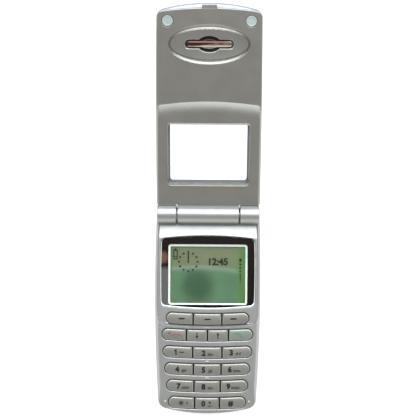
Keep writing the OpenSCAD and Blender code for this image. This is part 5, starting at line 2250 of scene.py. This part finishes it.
    def build(self) -> None:
        """Build and dress the lid's pieces."""
        made = [
            (self.inner(), SHADED_PANEL, "lid_inner_cover"),
            (self.barrel(), SILVER, None),
            (self.outer(), PALE, "lid_outer_cover"),
            (self.window(), WINDOW, "window_lens"),
            (self.pads(), RUBBER, "lid_bumpers"),
            (self.ear_bar(), CHROME, "earpiece_grille"),
        ]
        for piece, finish, node in made:
            finish.dress(piece)
            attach(piece, Body.LID.value)
            if node:
                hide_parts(node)
            report(piece)


# ---------------------------------------------------------------- carried-over pieces


@dataclass
class Works:
    """Pieces whose solids already have their shape, with their finishes."""

    finishes: dict[Finish, tuple[str, ...]] = field(default_factory=lambda: {
        SILVER: ("rear_housing", "battery_case"),
        DARK: ("battery_latch", "ringer_speaker", "system_connector", "headset_socket",
               "earpiece_speaker", "internal_antenna"),
        TIN: ("baseband_shield", "rf_shield", "microphone", "vibration_motor", "sim_holder",
              "backup_cell"),
        GOLD: ("dome_sheet", "battery_contacts"),
        STEEL: ("housing_screws", "hinge_shaft", "hinge_sleeve", "lid_screws", "hinge_cartridge"),
        WHITE: ("lcd_holder",),
        GUIDE: ("backlight_guide",),
        MAT: ("keypad_mat",),
        BOARD: ("main_board",),
        DENSE: ("vibration_weight", "lid_magnet"),
        CARD: ("sim_card",),
        CELL: ("battery_cell",),
        FOAM: ("earpiece_gasket",),
        FILM: ("lid_flex",),
    })

    def build(self, nodes: dict[str, Piece]) -> None:
        """Give each carried-over solid its finish.

        Args:
            nodes: The CAD objects by name.
        """
        for finish, names in self.finishes.items():
            for name in names:
                finish.dress(nodes[name])
                LOG.info("dressed %s", name)


# ---------------------------------------------------------------- studio


@dataclass
class Studio:
    """Floor, soft lamps and the camera above the telephone."""

    camera_at: tuple[float, float, float] = (0.0001, 0.0444, 0.395)
    lean: float = math.radians(0.38)
    view_angle: float = math.radians(26.78)
    floor_half: float = 3.0
    floor_glow: float = 0.5
    grey: float = 0.40
    white: float = 1.2
    patches: tuple[tuple[tuple[float, float, float], float, float], ...] = (
        ((0.0, 0.8, 0.6), 0.45, 0.8), ((0.0, -1.0, 0.05), 0.66, 0.9),
        ((0.88, 0.1, 0.45), 0.66, 0.6), ((-0.88, 0.1, 0.45), 0.66, 0.6))

    def floor(self) -> None:
        """Plain pale floor that looks white to the camera and keeps the shadow."""
        mesh = bpy.data.meshes.new("floor")
        s = self.floor_half
        mesh.from_pydata([(-s, -s, 0), (s, -s, 0), (s, s, 0), (-s, s, 0)], [], [(0, 1, 2, 3)])
        floor = bpy.data.objects.new("floor", mesh)
        floor.location.z = -0.1 * MM
        bpy.context.scene.collection.objects.link(floor)
        mat = bpy.data.materials.new("pale_floor")
        mat.use_nodes = True
        tree = mat.node_tree
        path = add_node(tree, "LightPath").outputs
        seen = path["Is Camera Ray"]
        for ray in ("Is Glossy Ray", "Is Transmission Ray"):
            seen = maths(tree, "MAXIMUM", seen, path[ray])
        level = maths(tree, "MULTIPLY", seen, self.floor_glow)
        fill(tree, tree.nodes["Principled BSDF"], {
            "Base Color": (0.85, 0.85, 0.85), "Roughness": 0.9, "Emission Color": (1, 1, 1),
            "Emission Strength": level})
        mesh.materials.append(mat)

    def world(self) -> None:
        """Grey surroundings with brighter patches, white where the camera looks past the floor."""
        world = bpy.data.worlds.new("studio")
        bpy.context.scene.world = world
        world.use_nodes = True
        tree = world.node_tree
        way = add_node(tree, "TexCoord").outputs["Generated"]
        level = self.grey
        for aim, start, gain in self.patches:
            dot = add_node(tree, "VectorMath", {0: way, 1: aim}, operation="DOT_PRODUCT")
            ramp = add_node(tree, "MapRange", {"Value": dot.outputs["Value"], "From Min": start,
                                               "To Max": gain}, interpolation_type="SMOOTHSTEP")
            level = maths(tree, "ADD", ramp.outputs["Result"], level)
        seen = add_node(tree, "LightPath").outputs["Is Camera Ray"]
        strength = maths(tree, "MULTIPLY_ADD", seen, self.white, level)
        fill(tree, tree.nodes["Background"], {"Strength": strength, "Color": (1.0, 0.99, 0.96)})

    def lamp(self, name: str, at: tuple, aim: tuple, size: tuple, power: float) -> None:
        """Add one soft rectangular lamp.

        Args:
            name: Name of the lamp.
            at: Where it hangs.
            aim: What it points at.
            size: Its width and height.
            power: Its power in watts.
        """
        light = bpy.data.lights.new(name, "AREA")
        light.shape, light.size, light.size_y = "RECTANGLE", size[0], size[1]
        light.energy = power
        light.color = (0.86, 0.94, 1.0)
        holder = bpy.data.objects.new(name, light)
        holder.location = at
        holder.rotation_euler = (Vector(aim) - Vector(at)).to_track_quat("-Z", "Y").to_euler()
        bpy.context.scene.collection.objects.link(holder)

    def build(self) -> None:
        """Set up the floor, the light and the camera."""
        self.floor()
        self.world()
        self.lamp("window_softbox", (0.06, 0.52, 0.72), (0.0, 0.04, 0.01), (0.95, 0.80), 7.4)
        camera = bpy.data.cameras.new("camera")
        camera.sensor_fit = "HORIZONTAL"
        camera.sensor_width = 36.0
        camera.lens = 18.0 / math.tan(self.view_angle / 2)
        camera.clip_start = 0.01
        holder = bpy.data.objects.new("camera", camera)
        holder.location = self.camera_at
        holder.rotation_euler.z = self.lean
        bpy.context.scene.collection.objects.link(holder)
        bpy.context.scene.camera = holder
        bpy.context.scene.view_settings.view_transform = "Standard"


def report(piece: Piece) -> None:
    """Log a piece and how many faces it has."""
    LOG.info("made %s with %d faces", piece.name, len(piece.data.polygons))


def main() -> None:
    """Build the telephone in order."""
    logging.basicConfig(level=logging.INFO, format="%(message)s")
    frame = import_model()
    joint = next(j for j in frame["joints"] if j["name"] == "lid_hinge")
    hinge = Vector(joint["pos_m"])
    base = BaseForm(hinge)
    BaseHousings(base).build()
    Keypad(base).build()
    Display(base).build()
    Lid(LidForm(hinge)).build()
    Works().build(frame["nodes"])
    Studio().build()


if __name__ == "__main__":
    main()
